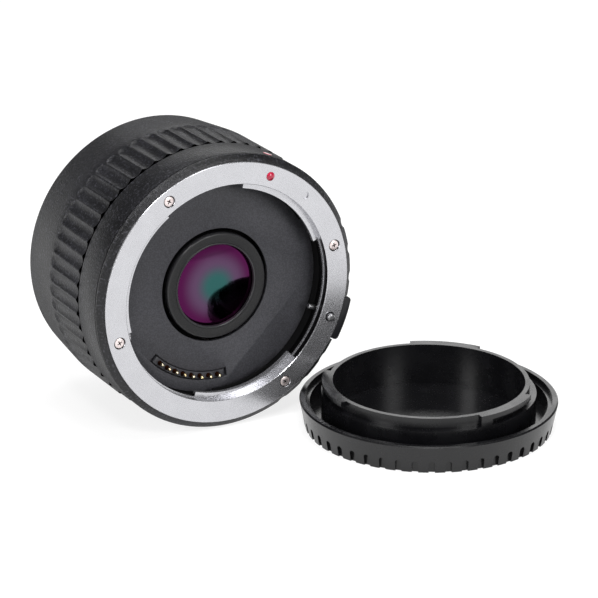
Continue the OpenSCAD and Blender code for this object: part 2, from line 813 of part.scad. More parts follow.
module grip_shell() {
  round_axis_r = rear_edge_r - rear_round;
  round_axis_s = shell_s1 - rear_round;
  color("#39393b")
    barrel_frame()
      difference() {
        rotate_extrude()
          polygon(concat(
            [
              [shell_bore_r, shell_s0],
              [grip_r, shell_s0],
              [grip_r, taper_s]
            ],
            [
              for (i = [0 : round_steps])
                [
                  round_axis_r + rear_round * cos(90 * i / round_steps),
                  round_axis_s + rear_round * sin(90 * i / round_steps)
                ]
            ],
            [
              [shell_rear_bore_r, shell_s1],
              [shell_rear_bore_r, step_s],
              [shell_bore_r, step_s]
            ]
          ));
        for (i = [0 : flute_count - 1])
          placed(i * 360 / flute_count, flute_axis_r, shell_s0 - cut_over) {
            cylinder(r = flute_r, h = flute_run);
            translate([0, 0, flute_run])
              sphere(r = flute_r);
          }
      }
}

module front_baffle() {
  color("#444446")
    barrel_frame()
      difference() {
        sleeve(baffle_bore_r - fit, tube_r + light_gap, baffle_s0, baffle_s1);
        arc_block(nose_r0 - nose_gap, nose_r1 + nose_gap, baffle_s0 - cut_over, baffle_s1 + cut_over,
                  contact_angle - nose_sweep / 2 - nose_end_gap, nose_sweep + 2 * nose_end_gap);
      }
}

module front_contact_block() {
  color("#202022")
    barrel_frame()
      difference() {
        union() {
          arc_block(nose_r0, nose_r1, nose_s0, baffle_s1 + weld,
                    contact_angle - nose_sweep / 2, nose_sweep);
          arc_block(base_r0, base_r1, baffle_s1, base_s1,
                    contact_angle - base_sweep / 2, base_sweep);
        }
        for (i = [0 : contact_count - 1])
          placed(contact_at(i), contact_r, nose_s0 - cut_over)
            cylinder(r = pin_bore_r, h = pin_bore_s1 - nose_s0 + cut_over);
      }
}

module contact_pin(i) {
  color("gold")
    barrel_frame()
      placed(contact_at(i), contact_r, pin_tip_s + pin_r) {
        sphere(r = pin_r);
        cylinder(r = pin_r, h = pin_s1 - pin_tip_s - pin_r);
      }
}

module contact_pin_1() {
  contact_pin(0);
}

module contact_pin_2() {
  contact_pin(1);
}

module contact_pin_3() {
  contact_pin(2);
}

module contact_pin_4() {
  contact_pin(3);
}

module contact_pin_5() {
  contact_pin(4);
}

module contact_pin_6() {
  contact_pin(5);
}

module contact_pin_7() {
  contact_pin(6);
}

module contact_pin_8() {
  contact_pin(7);
}

module lens_tube() {
  color("#1c1c1e")
    barrel_frame()
      difference() {
        rotate_extrude()
          polygon([
            [lens_bore_r, tube_s0],
            [tube_r, tube_s0],
            [tube_r, tube_flange_s0],
            [tube_flange_r, tube_flange_s0],
            [tube_flange_r, rib_s0],
            [tube_rear_r, rib_s0],
            [tube_rear_r, tube_s1],
            [lens_bore_r, tube_s1]
          ]);
        for (angle = tube_screw_angles)
          placed(angle, tube_screw_r, tube_flange_s0 - cut_over)
            cylinder(r = tube_screw_d / 2 + running, h = tube_flange_t + 2 * cut_over);
        cable_slot(flex_r, tube_flange_r + cut_over, tube_flange_s0, rib_s0);
      }
}

module lens_bezel() {
  color("#2a2a2c")
    barrel_frame()
      rotate_extrude()
        polygon([
          [lens_clear_r, bezel_s0 + bezel_slope],
          [tube_r - bezel_slope, bezel_s0],
          [tube_r, bezel_s0 + bezel_slope],
          [tube_r, tube_s0],
          [lens_clear_r, tube_s0]
        ]);
}

module lens_1() {
  color("lightsteelblue", 0.5)
    barrel_frame()
      convex_element(lens_1_s0, lens_1_s1, lens_1_front_r, lens_1_rear_r);
}

module lens_spacer_1() {
  color("#161618")
    barrel_frame()
      sleeve(lens_r, spacer_in_r, spacer_1_s0, lens_2_s0);
}

module lens_2() {
  front_s = lens_2_s0 + sag(lens_2_front_r, concave_r);
  rear_s = lens_2_s1 - sag(cement_r, concave_r);
  color("lightsteelblue", 0.5)
    barrel_frame()
      difference() {
        translate([0, 0, lens_2_s0])
          cylinder(r = lens_r, h = edge_2);
        translate([0, 0, front_s - lens_2_front_r])
          sphere(r = lens_2_front_r, $fn = lens_fn);
        translate([0, 0, rear_s + cement_r])
          sphere(r = cement_r, $fn = lens_fn);
      }
}

module lens_3() {
  front_s = lens_2_s1 - sag(cement_r, concave_r);
  rear_s = lens_3_s1 + sag(lens_3_rear_r, lens_r);
  color("lightsteelblue", 0.5)
    barrel_frame()
      intersection() {
        translate([0, 0, front_s])
          cylinder(r = lens_r, h = rear_s - front_s);
        translate([0, 0, front_s + cement_r])
          sphere(r = cement_r - cement_t, $fn = lens_fn);
        translate([0, 0, rear_s - lens_3_rear_r])
          sphere(r = lens_3_rear_r, $fn = lens_fn);
      }
}

module lens_spacer_2() {
  color("#161618")
    barrel_frame()
      sleeve(lens_r, spacer_in_r, spacer_2_s0, spacer_2_s1);
}

module lens_4() {
  color("lightsteelblue", 0.5)
    barrel_frame()
      convex_element(lens_4_s0, lens_4_s1, lens_4_front_r, lens_4_rear_r);
}

module rear_retainer() {
  color("#2a2a2c")
    barrel_frame()
      sleeve(lens_r, retainer_in_r, retainer_s0, retainer_s1);
}

module lens_tube_screws() {
  color("gainsboro")
    barrel_frame()
      for (angle = tube_screw_angles)
        placed(angle, tube_screw_r, tube_flange_s0 - tube_screw_head_h) {
          cylinder(r = tube_screw_head_d / 2, h = tube_screw_head_h);
          cylinder(r = tube_screw_d / 2, h = tube_screw_head_h + tube_flange_t + rib_t);
        }
}

module circuit_board() {
  color("darkgreen")
    barrel_frame()
      sleeve(board_r, board_r0, board_s0, board_s1);
}

module control_chips() {
  color("#151517")
    barrel_frame()
      for (angle = chip_angles)
        placed(angle, chip_r, board_s1)
          translate([-chip_len / 2, -chip_len / 2, 0])
            cube([chip_len, chip_len, chip_t]);
}

module front_cable() {
  color("peru")
    barrel_frame()
      cable(flex_r, base_s1, board_s0);
}

module rear_cable() {
  color("peru")
    barrel_frame()
      cable(rear_flex_r, board_s1, rear_baffle_s1);
}

module release_button() {
  corner_r = button_r1 - button_round;
  corner_half = button_half - asin(button_round / corner_r);
  inner = [
    for (i = [0 : round_steps])
      polar(button_r0, release_angle + button_half * (1 - 2 * i / round_steps))
  ];
  first_corner = [
    for (i = [0 : round_steps])
      polar(corner_r, release_angle - corner_half)
        + polar(button_round, release_angle - corner_half - 90 * (1 - i / round_steps))
  ];
  outer = [
    for (i = [1 : round_steps - 1])
      polar(button_r1, release_angle - corner_half * (1 - 2 * i / round_steps))
  ];
  last_corner = [
    for (i = [0 : round_steps])
      polar(corner_r, release_angle + corner_half)
        + polar(button_round, release_angle + corner_half + 90 * i / round_steps)
  ];
  color("#141416")
    barrel_frame()
      translate([0, 0, button_set])
        linear_extrude(button_len)
          polygon(concat(inner, first_corner, outer, last_corner));
}

module release_slider() {
  color("slategray")
    barrel_frame()
      intersection() {
        placed(release_angle, lock_r - slider_reach, slider_depth)
          rotate([90, 0, 0])
            translate([-slider_w / 2, 0, 0])
              cube([slider_w, slider_len, frame_r]);
        cylinder(r = button_r0 - running, h = slider_s1);
      }
}

module lock_pin() {
  color("lightgray")
    barrel_frame()
      placed(release_angle, lock_r, -lock_proud) {
        translate([0, 0, lock_pin_r])
          sphere(r = lock_pin_r);
        translate([0, 0, lock_pin_r])
          cylinder(r = lock_pin_r, h = slider_depth + lock_proud - lock_pin_r);
      }
}

module release_spring() {
  wire_r = coil_wire / 2;
  turn_r = coil_r - wire_r;
  rings = coil_turns * coil_rings;
  rise = (coil_len - coil_wire) / rings;
  points = [
    for (j = [0 : rings], k = [0 : coil_sides - 1])
      let (
        around = 360 * j / coil_rings,
        spin = 360 * k / coil_sides,
        out = turn_r + wire_r * cos(spin)
      )
      [out * cos(around), out * sin(around), wire_r + rise * j + wire_r * sin(spin)]
  ];
  sides = [
    for (j = [0 : rings - 1], k = [0 : coil_sides - 1])
      let (
        a = j * coil_sides + k,
        b = j * coil_sides + (k + 1) % coil_sides
      )
      each [[a, b, b + coil_sides], [a, b + coil_sides, a + coil_sides]]
  ];
  near_end = [for (k = [1 : coil_sides - 2]) [0, k + 1, k]];
  last = rings * coil_sides;
  far_end = [for (k = [1 : coil_sides - 2]) [last, last + k, last + k + 1]];
  color("silver")
    barrel_frame()
      placed(release_angle, lock_r, slider_s1)
        polyhedron(points = points, faces = concat(sides, near_end, far_end));
}

module rear_mount() {
  color("silver")
    barrel_frame()
      difference() {
        union() {
          rotate_extrude()
            polygon([
              [rear_bore_r, frame_s1],
              [frame_rear_r, frame_s1],
              [frame_rear_r, barrel_length],
              [spigot_r, barrel_length],
              [spigot_r, spigot_s1],
              [spigot_in_r, spigot_s1],
              [spigot_in_r, rear_baffle_s0],
              [rear_bore_r, rear_baffle_s0]
            ]);
          for (i = [0 : tabs - 1])
            arc_block(spigot_r - weld, lug_r, lug_s0, lug_s0 + lug_t,
                      slot_start(i) + lug_side + bayonet_turn, slot_sweep(i) - 2 * lug_side);
        }
        for (angle = rear_screw_angles)
          placed(angle, rear_screw_r, barrel_length)
            mirror([0, 0, 1])
              countersunk_seat(rear_plate_t + cut_over);
        placed(release_angle, lock_r, frame_s1 - cut_over)
          cylinder(r = lock_pin_r + lock_gap, h = rear_plate_t + 2 * cut_over);
      }
}

module rear_mount_screws() {
  color("gainsboro")
    barrel_frame()
      for (angle = rear_screw_angles)
        placed(angle, rear_screw_r, barrel_length - screw_sink)
          mirror([0, 0, 1])
            countersunk_screw(rear_plate_t + screw_bite - screw_sink);
}

module rear_baffle() {
  color("#1b1b1d")
    barrel_frame()
      difference() {
        translate([0, 0, rear_baffle_s0])
          cylinder(r = spigot_in_r - fit, h = rear_baffle_t);
        translate([-window_w / 2, -window_h / 2, rear_baffle_s0 - cut_over])
          cube([window_w, window_h, rear_baffle_t + 2 * cut_over]);
        cable_slot(rear_flex_r, rear_flex_r + flex_gap, rear_baffle_s0, rear_baffle_s1);
      }
}

module rear_contact_block() {
  color("#202022")
    barrel_frame()
      arc_block(nose_r0, nose_r1, rear_baffle_s1, rear_block_s1,
                contact_angle - nose_sweep / 2, nose_sweep);
}

module rear_contact_pads() {
  color("gold")
    barrel_frame()
      for (i = [0 : contact_count - 1])
        placed(contact_at(i), contact_r, rear_block_s1)
          cylinder(r = pad_d / 2, h = pad_t);
}

module mount_cap() {
  color("#101012")
    translate([cap_x, cap_y, floor_z])
      difference() {
        union() {
          rotate([0, 0, cap_seam_turn])
            rotate_extrude()
              polygon([
                [0, 0],
                [cap_r - cap_draft, 0],
                [cap_r, cap_rim_h - cap_bevel],
                [cap_r - cap_bevel, cap_rim_h],
                [cap_r - cap_rim_w, cap_rim_h],
                [cap_r - cap_rim_w, cap_rim_h - cap_step_h],
                [cap_r - cap_rim_w - cap_step_w, cap_rim_h - cap_step_h],
                [cap_r - cap_rim_w - cap_step_w, cap_trough_h],
                [cap_collar_r, cap_trough_h],
                [cap_collar_r, cap_collar_top],
                [cap_tube_r, cap_collar_top],
                [cap_tube_r, cap_tube_top],
                [cap_tube_in_r, cap_tube_top],
                [cap_tube_in_r, cap_floor_t],
                [0, cap_floor_t]
              ]);
          for (i = [0 : tabs - 1])
            rotate([0, 0, cap_turn + cap_lug_start[i]]) {
              rotate_extrude(angle = cap_lug_sweep[i])
                translate([cap_tube_r - weld, cap_lug_h])
                  square([cap_lug_r - cap_tube_r + weld, cap_tube_top - cap_lug_h]);
              rotate_extrude(angle = cap_rib_sweep)
                translate([cap_tube_r - weld, cap_collar_top - weld])
                  square([cap_lug_r - cap_tube_r + weld, cap_tube_top - cap_collar_top + weld]);
            }
        }
        for (i = [0 : cap_notch_count - 1])
          rotate([0, 0, i * 360 / cap_notch_count])
            translate([cap_r - cap_draft - cap_notch_d / 2, 0, 0]) {
              translate([0, -cap_notch_w / 2, -cut_over])
                cube([cap_notch_d + cap_draft, cap_notch_w, cap_notch_h - cap_notch_w / 2 + cut_over]);
              translate([0, 0, cap_notch_h - cap_notch_w / 2])
                rotate([0, 90, 0])
                  cylinder(r = cap_notch_w / 2, h = cap_notch_d + cap_draft);
            }
      }
}

front_mount_ring();
front_mount_screws();
index_dot();
stop_peg();
bayonet_spring();
inner_frame();
front_band();
band_index_mark();
grip_shell();
front_baffle();
front_contact_block();
contact_pin_1();
contact_pin_2();
contact_pin_3();
contact_pin_4();
contact_pin_5();
contact_pin_6();
contact_pin_7();
contact_pin_8();
lens_tube();
lens_bezel();
lens_1();
lens_spacer_1();
lens_2();
lens_3();
lens_spacer_2();
lens_4();
rear_retainer();
lens_tube_screws();
circuit_board();
control_chips();
front_cable();
rear_cable();
release_button();
release_slider();
lock_pin();
release_spring();
rear_mount();
rear_mount_screws();
rear_baffle();
rear_contact_block();
rear_contact_pads();
mount_cap();
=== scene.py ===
"""Dresses a camera teleconverter and its mount cap, and sets them in a plain pale studio."""

import logging
import math
from dataclasses import dataclass, field
from enum import Enum
from typing import Callable, Optional, Sequence, Union

import bpy
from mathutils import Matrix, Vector


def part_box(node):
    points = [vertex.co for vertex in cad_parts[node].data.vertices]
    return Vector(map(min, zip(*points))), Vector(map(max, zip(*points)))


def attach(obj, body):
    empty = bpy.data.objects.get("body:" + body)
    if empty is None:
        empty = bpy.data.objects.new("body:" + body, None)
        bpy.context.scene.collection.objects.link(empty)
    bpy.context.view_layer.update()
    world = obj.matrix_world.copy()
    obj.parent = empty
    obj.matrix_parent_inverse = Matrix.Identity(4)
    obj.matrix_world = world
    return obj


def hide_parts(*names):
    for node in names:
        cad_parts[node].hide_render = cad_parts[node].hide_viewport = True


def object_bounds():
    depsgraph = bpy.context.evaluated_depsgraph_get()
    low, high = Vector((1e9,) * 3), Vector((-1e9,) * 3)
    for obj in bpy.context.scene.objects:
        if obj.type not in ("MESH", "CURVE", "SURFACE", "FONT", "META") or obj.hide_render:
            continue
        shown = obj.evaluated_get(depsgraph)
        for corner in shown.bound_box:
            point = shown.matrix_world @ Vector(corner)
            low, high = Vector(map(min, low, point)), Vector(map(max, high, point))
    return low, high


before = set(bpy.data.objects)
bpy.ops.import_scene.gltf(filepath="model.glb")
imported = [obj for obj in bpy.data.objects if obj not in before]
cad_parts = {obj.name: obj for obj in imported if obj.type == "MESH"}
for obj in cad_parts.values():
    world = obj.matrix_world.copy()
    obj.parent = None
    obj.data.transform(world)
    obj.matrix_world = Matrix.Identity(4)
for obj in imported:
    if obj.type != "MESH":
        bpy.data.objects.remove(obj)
CAD_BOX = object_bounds()

LOG = logging.getLogger("teleconverter")
MM = 0.001
AXIS_POINT = 2e-6  # radius of a ring that is merged to a point on its axis
MERGE = 5e-6
ROLL = math.radians(22.5)  # turn of the index dot from straight up, clockwise from the front
SLOTS = ((81.5, 33.5), (205.35, 29.15), (325.65, 22.95))  # middle from the dot and half sweep, in degrees

SEAT_R = 1.46 * MM  # countersunk screw seats in the front ring, where shade is painted dark
PIN_SEAT_R = 1.26 * MM  # hole of the lock pin, where shade is painted dark
THROAT_R = 27.1 * MM
THROAT_DEPTHS = (0.25 * MM, 1.75 * MM)  # part of the throat wall with dark painted shade, from the ring's face
TAB_BACK = 2.1 * MM  # depth past which the ring's bore carries dark painted shade

Colour = tuple[float, float, float, float]
Point = tuple[float, float]


class Slot(Enum):
    """The record's material slots that new pieces use."""

    MOUNT_METAL = "mount_metal"
    SCREW_METAL = "screw_metal"
    INDEX_RED = "index_red"
    STEEL = "steel"
    BARREL_BLACK = "barrel_black"
    BAFFLE_BLACK = "baffle_black"
    BLOCK_BLACK = "block_black"
    CONTACT_GOLD = "contact_gold"
    TUBE_BLACK = "tube_black"
    LENS_GLASS = "lens_glass"
    BUTTON_BLACK = "button_black"
    CAP_BLACK = "cap_black"


def tone(code: str) -> Colour:
    """Turns a screen colour into the linear colour that a shader takes.

    Args:
        code: Six hexadecimal digits, red, green and blue.

    Returns:
        The linear colour with full opacity.
    """
    linear = []
    for start in (0, 2, 4):
        share = int(code[start:start + 2], 16) / 255
        linear.append(share / 12.92 if share <= 0.04045 else ((share + 0.055) / 1.055) ** 2.4)
    return (linear[0], linear[1], linear[2], 1.0)


def scaled(colour: Colour, share: float) -> Colour:
    """Makes a colour lighter or darker by a share, up to full brightness."""
    return tuple(min(1.0, part * share) for part in colour[:3]) + (1.0,)


def arc(centre: Point, radius: float, start: float, end: float, steps: int) -> list[Point]:
    """Lays points along an arc of a profile.

    Args:
        centre: Radius and depth of the arc's centre.
        radius: Radius of the arc.
        start: Angle of the first point in degrees, from the outward direction towards the depth.
        end: Angle of the last point in degrees.
        steps: Number of segments.

    Returns:
        The profile points.
    """
    points = []
    for step in range(steps + 1):
        angle = math.radians(start + (end - start) * step / steps)
        points.append((centre[0] + radius * math.cos(angle), centre[1] + radius * math.sin(angle)))
    return points


class Wire:
    """An output socket that takes part in Python arithmetic, adding a Math node for each operation."""

    def __init__(self, paint: "Paint", socket: Optional[bpy.types.NodeSocket]) -> None:
        """Keeps the socket and the material that it belongs to."""
        self.paint = paint
        self.socket = socket

    def _math(self, operation: str, left: "Operand", right: "Operand") -> "Wire":
        """Adds a Math node on two values."""
        return self.paint.node("ShaderNodeMath", {"operation": operation}, {0: left, 1: right})

    def __add__(self, other: "Operand") -> "Wire":
        """Adds a value to this one."""
        return self._math("ADD", self, other)

    def __radd__(self, other: "Operand") -> "Wire":
        """Adds this value to a number."""
        return self._math("ADD", other, self)

    def __sub__(self, other: "Operand") -> "Wire":
        """Takes a value from this one."""
        return self._math("SUBTRACT", self, other)

    def __rsub__(self, other: "Operand") -> "Wire":
        """Takes this value from a number."""
        return self._math("SUBTRACT", other, self)

    def __mul__(self, other: "Operand") -> "Wire":
        """Multiplies this value."""
        return self._math("MULTIPLY", self, other)

    def __rmul__(self, other: "Operand") -> "Wire":
        """Multiplies a number by this value."""
        return self._math("MULTIPLY", other, self)

    def __truediv__(self, other: "Operand") -> "Wire":
        """Divides this value."""
        return self._math("DIVIDE", self, other)

    def __rtruediv__(self, other: "Operand") -> "Wire":
        """Divides a number by this value."""
        return self._math("DIVIDE", other, self)

    def either(self, other: "Operand") -> "Wire":
        """Gives the larger of two values."""
        return self._math("MAXIMUM", self, other)

    def band(self, start: float, end: float, soft: float) -> "Wire":
        """Gives 1 from start to end, and falls to 0 over a width outside them."""
        return self.ramp(start - soft, start) * self.ramp(end + soft, end)

    def ramp(self, low: float, high: float, start: float = 0.0, end: float = 1.0) -> "Wire":
        """Runs smoothly between two values.

        Args:
            low: Value at which the result is start.
            high: Value at which the result is end.
            start: Result at and before low.
            end: Result at and past high.

        Returns:
            The eased value.
        """
        spans = {"Value": self, "From Min": low, "From Max": high, "To Min": start, "To Max": end}
        return self.paint.node("ShaderNodeMapRange", {"interpolation_type": "SMOOTHSTEP"}, spans)


Operand = Union[Wire, float, Sequence[float]]


class Paint:
    """One material under construction."""

    def __init__(self, tree: bpy.types.NodeTree) -> None:
        """Starts from an empty node tree."""
        self.tree = tree
        self.tree.nodes.clear()

    @classmethod
    def material(cls, name: str) -> "Paint":
        """Starts a material of that name."""
        made = bpy.data.materials.new(name)
        made.use_nodes = True
        paint = cls(made.node_tree)
        paint.made = made
        return paint

    def node(
        self,
        kind: str,
        settings: Optional[dict[str, object]] = None,
        inputs: Optional[dict[Union[int, str], Operand]] = None,
        output: Union[int, str] = 0,
    ) -> Wire:
        """Adds a node.

        Args:
            kind: The node's type.
            settings: Properties that are set first.
            inputs: Values or links by socket name or number.
            output: The output that is wanted.

        Returns:
            The wanted output.
        """
        made = self.tree.nodes.new(kind)
        for key, value in (settings or {}).items():
            setattr(made, key, value)
        for key, value in (inputs or {}).items():
            socket = made.inputs[key]
            if isinstance(value, Wire):
                self.tree.links.new(value.socket, socket)
            else:
                socket.default_value = value
        return Wire(self, made.outputs[output] if made.outputs else None)

    def place(self) -> Wire:
        """Gives the point on the piece, in metres."""
        return self.node("ShaderNodeTexCoord", output="Object")

    def part(self, vector: Wire, name: str) -> Wire:
        """Gives one part, X, Y or Z, of a vector."""
        return self.node("ShaderNodeSeparateXYZ", inputs={0: vector}, output=name)

    def distance(self, x: float = 0.0, z: float = 0.0) -> Wire:
        """Measures how far the surface is, in metres, from a line along Y through that X and Z."""
        offset = self.node("ShaderNodeVectorMath", {"operation": "SUBTRACT"}, {0: self.place(), 1: (x, 0, z)})
        flat = self.node("ShaderNodeVectorMath", {"operation": "MULTIPLY"}, {0: offset, 1: (1, 0, 1)})
        return self.node("ShaderNodeVectorMath", {"operation": "LENGTH"}, {0: flat}, "Value")

    def grain(self, size: float, detail: float = 2.0, roughness: float = 0.5) -> Wire:
        """Gives cloudy noise whose blotches have that size in metres."""
        values = {"Vector": self.place(), "Scale": 1 / size, "Detail": detail, "Roughness": roughness}
        return self.node("ShaderNodeTexNoise", inputs=values)

    def rings(self, pitch: float) -> Wire:
        """Gives uneven rings round the Y axis, about a pitch apart."""
        turns = self.distance() / pitch
        return self.node(
            "ShaderNodeTexNoise", {"noise_dimensions": "1D"}, {"W": turns, "Scale": 1.0, "Detail": 1.0}
        )

    def mix(self, share: Operand, first: Operand, second: Operand) -> Wire:
        """Blends two colours."""
        return self.node("ShaderNodeMix", {"data_type": "RGBA"}, {0: share, 6: first, 7: second}, 2)

    def bump(self, height: Wire, depth: float, strength: float = 1.0) -> Wire:
        """Turns a height from 0 to 1 into a normal, for marks of that depth in metres."""
        values = {"Strength": strength, "Distance": depth, "Height": height}
        return self.node("ShaderNodeBump", inputs=values)

    def surface(self, values: dict[str, Operand]) -> bpy.types.Material:
        """Ends the material in a principled surface with these socket values."""
        shader = self.node("ShaderNodeBsdfPrincipled", inputs=values)
        return self.close(shader)

    def close(self, shader: Wire) -> bpy.types.Material:
        """Ends the material in a shader."""
        self.node("ShaderNodeOutputMaterial", inputs={"Surface": shader})
        return self.made


@dataclass(frozen=True)
class Grained:
    """Black moulding or paint with a fine pebbled grain, and black painted shade inside a seam."""

    name: str
    colour: str
    roughness: float
    grain: float
    depth: float
    specular: float = 0.5
    speckle: float = 0.25
    specks: tuple[float, float] = (0.38, 0.66)
    glancing: float = 0.0
    # range along Y where shade is painted black in the seam
    seam: Optional[tuple[float, float]] = None

    def material(self) -> bpy.types.Material:
        """Builds the finish."""
        paint = Paint.material(self.name)
        pebbles = paint.grain(self.grain, 3.0, 0.6)
        cloud = paint.grain(40 * self.grain, 2.0)
        dark = tone(self.colour)
        pale = scaled(dark, 1 + 2 * self.speckle)
        shade = pebbles.ramp(*self.specks) * 0.85 + cloud.ramp(0.35, 0.7) * 0.15
        colour = paint.mix(shade, dark, pale)
        # painted shade: the seam's faces are made black and fully metallic, so they stay dark under any light
        seam_shade: Operand = 0.0
        if self.seam is not None:
            depth = paint.part(paint.place(), "Y")
            seam_shade = depth.band(*self.seam, 0.03 * MM)
            colour = paint.mix(seam_shade, colour, tone("000000"))
        rough = cloud.ramp(0.3, 0.7, self.roughness - 0.04, self.roughness + 0.05)
        if self.glancing:
            facing = paint.node("ShaderNodeLayerWeight", inputs={"Blend": 0.5}, output="Facing")
            rough = rough + facing.ramp(0.5, 0.95) * self.glancing
        return paint.surface({
            "Base Color": colour,
            "Metallic": seam_shade,
            "Roughness": rough,
            "Specular IOR Level": self.specular,
            "Normal": paint.bump(pebbles, self.depth),
        })


@dataclass(frozen=True)
class Moulded:
    """Smooth injection-moulded plastic with a faint flow cloud and small scuffs."""

    name: str
    colour: str
    roughness: float
    specular: float = 0.5
    cloud: float = 6 * MM
    scuff: float = 0.5 * MM

    def material(self) -> bpy.types.Material:
        """Builds the finish."""
        paint = Paint.material(self.name)
        cloud = paint.grain(self.cloud, 3.0)
        scuff = paint.grain(self.scuff, 4.0, 0.7)
        dark = tone(self.colour)
        pale = scaled(dark, 1.35)
        worn = scuff.ramp(0.58, 0.72)
        rough = cloud.ramp(0.3, 0.7, self.roughness - 0.03, self.roughness + 0.04)
        return paint.surface({
            "Base Color": paint.mix(cloud.ramp(0.35, 0.7), dark, pale),
            "Roughness": rough + worn * 0.08,
            "Specular IOR Level": self.specular,
            "Normal": paint.bump(scuff, 0.004 * MM, 0.6),
        })


@dataclass(frozen=True)
class Turned:
    """Metal with turning marks round the optical axis, and dark painted shade deep in its bore, in its seats
    and on its slot walls.

    A seat is a round recess along the axis, given by its centre's X and Z and its radius, where shade is
    painted dark. The wall is a bore whose slots carry dark painted shade, given by its radius and the depths
    where it starts and ends. A slot is given by its middle, clockwise from straight up, and half its sweep, in
    radians.
    """

    name: str
    colour: str
    roughness: float
    pitch: float = 0.12 * MM
    depth: float = 0.002 * MM
    metallic: float = 1.0
    spread: float = 0.055
    shade: float = 0.9
    # depth and radius past which the bore is made dark as painted shade, and the colour of all painted shade
    # here
    shade_from_y: Optional[float] = None
    shade_beyond_r: float = 26.3 * MM
    bore: str = "161617"
    seats: tuple[tuple[float, float, float], ...] = ()
    wall: Optional[tuple[float, float, float]] = None
    slots: tuple[Point, ...] = ()

    def material(self) -> bpy.types.Material:
        """Builds the finish."""
        paint = Paint.material(self.name)
        marks = paint.rings(self.pitch)
        cloud = paint.grain(5 * MM, 3.0)
        frost = paint.grain(0.3 * MM, 2.0)
        bright = tone(self.colour)
        dull = scaled(bright, self.shade)
        shade = marks.ramp(0.35, 0.65) * 0.6 + cloud.ramp(0.35, 0.7) * 0.4
        colour = paint.mix(shade, dull, bright)
        # painted shade: deep in the bore, past a depth and a radius, the metal is made dark
        if self.shade_from_y is not None:
            deep_shade = paint.part(paint.place(), "Y").ramp(self.shade_from_y - 0.1 * MM, self.shade_from_y + 0.1 * MM)
            reach = paint.distance()
            wall = reach.ramp(self.shade_beyond_r - 0.1 * MM, self.shade_beyond_r + 0.1 * MM)
            colour = paint.mix(deep_shade * wall, colour, tone(self.bore))
        # painted shade: dark discs fill the screw and pin seats
        for x, z, radius in self.seats:
            reach = paint.distance(x, z)
            share = reach.ramp(radius + 0.05 * MM, radius - 0.05 * MM)
            colour = paint.mix(share, colour, tone(self.bore))
        if self.wall is not None:
            # painted shade: the throat wall in the slots is made dark
            colour = paint.mix(self.painted_slot_shade(paint), colour, tone(self.bore))
        rough = frost.ramp(0.3, 0.7, self.roughness - self.spread, self.roughness + self.spread)
        return paint.surface({
            "Base Color": colour,
            "Metallic": self.metallic,
            "Roughness": rough + marks.ramp(0.3, 0.7, -0.03, 0.03),
            "Normal": paint.bump(marks, self.depth),
        })

    def painted_slot_shade(self, paint: Paint) -> Wire:
        """Gives 1 on the wall of the slots, where dark shade is painted, and 0 elsewhere.

        Args:
            paint: The material.

        Returns:
            The share of painted shade.
        """
        radius, start, end = self.wall
        place = paint.place()
        across, depth, height = (paint.part(place, name) for name in "XYZ")
        reach = paint.distance()
        share = reach.band(radius - 0.02 * MM, radius + 0.02 * MM, 0.03 * MM)
        share = share * depth.band(start, end, 0.05 * MM)
        slots: Operand = 0.0
        for middle, half in self.slots:
            along = across * math.sin(middle) + height * math.cos(middle)
            edge = radius * math.cos(half)
            slots = along.ramp(edge - 0.1 * MM, edge + 0.1 * MM).either(slots)
        return share * slots


@dataclass(frozen=True)
class Plated:
    """Small bright metal with a little tarnish, and painted shade that darkens it past a depth."""

    name: str
    colour: str
    tarnish: str
    roughness: float
    spot: float = 0.6 * MM
    # colour of the painted shade, and the depths where it starts and where it is full
    recess_shade_colour: str = "3a2422"
    lit_y: float = 0.0
    shaded_y: float = 0.0

    def material(self) -> bpy.types.Material:
        """Builds the finish."""
        paint = Paint.material(self.name)
        cloud = paint.grain(self.spot, 3.0, 0.6)
        scratch = paint.grain(self.spot / 6, 2.0)
        colour = paint.mix(cloud.ramp(0.4, 0.75), tone(self.colour), tone(self.tarnish))
        # painted shade: past a depth the metal turns to the shade colour, as in a recess
        recess_shade: Operand = 0.0
        if self.lit_y != self.shaded_y:
            recess_shade = paint.part(paint.place(), "Y").ramp(self.lit_y, self.shaded_y)
        return paint.surface({
            "Base Color": paint.mix(recess_shade, colour, tone(self.recess_shade_colour)),
            "Metallic": 1.0,
            "Roughness": cloud.ramp(0.3, 0.7, self.roughness - 0.05, self.roughness + 0.1),
            "Normal": paint.bump(scratch, 0.002 * MM, 0.5),
        })


@dataclass(frozen=True)
class Lacquered:
    """Coloured lacquer under a clear coat."""

    name: str
    colour: str
    shade: str
    roughness: float = 0.25

    def material(self) -> bpy.types.Material:
        """Builds the finish."""
        paint = Paint.material(self.name)
        cloud = paint.grain(0.7 * MM, 3.0)
        return paint.surface({
            "Base Color": paint.mix(cloud.ramp(0.35, 0.75), tone(self.colour), tone(self.shade)),
            "Roughness": cloud.ramp(0.3, 0.7, self.roughness, self.roughness + 0.1),
            "Specular IOR Level": 0.3,
            "Coat Weight": 1.0,
            "Coat Roughness": 0.05,
        })


@dataclass(frozen=True)
class Anodised:
    """Matt black anodised metal with polished edges at certain radii, painted lighter there as a highlight."""

    name: str
    colour: str
    roughness: float
    specular: float
    edges: tuple[float, ...]
    edge_w: float = 0.4 * MM
    polish: float = 0.22
    # lighter colour on the edges, a painted highlight
    worn: str = "343436"

    def material(self) -> bpy.types.Material:
        """Builds the finish."""
        paint = Paint.material(self.name)
        radius = paint.distance()
        fine = paint.grain(0.3 * MM, 3.0, 0.6)
        bright: Operand = 0.0
        for edge in self.edges:
            bright = radius.band(edge, edge, self.edge_w).either(bright)
        dark = tone(self.colour)
        pale = scaled(dark, 2.2)
        colour = paint.mix(fine.ramp(0.4, 0.65), dark, pale)
        return paint.surface({
            # painted highlight: the edges are lighter in colour; their lower roughness is real polish
            "Base Color": paint.mix(bright, colour, tone(self.worn)),
            "Roughness": self.roughness + bright * (self.polish - self.roughness),
            "Specular IOR Level": self.specular,
            "Normal": paint.bump(fine, 0.01 * MM),
        })


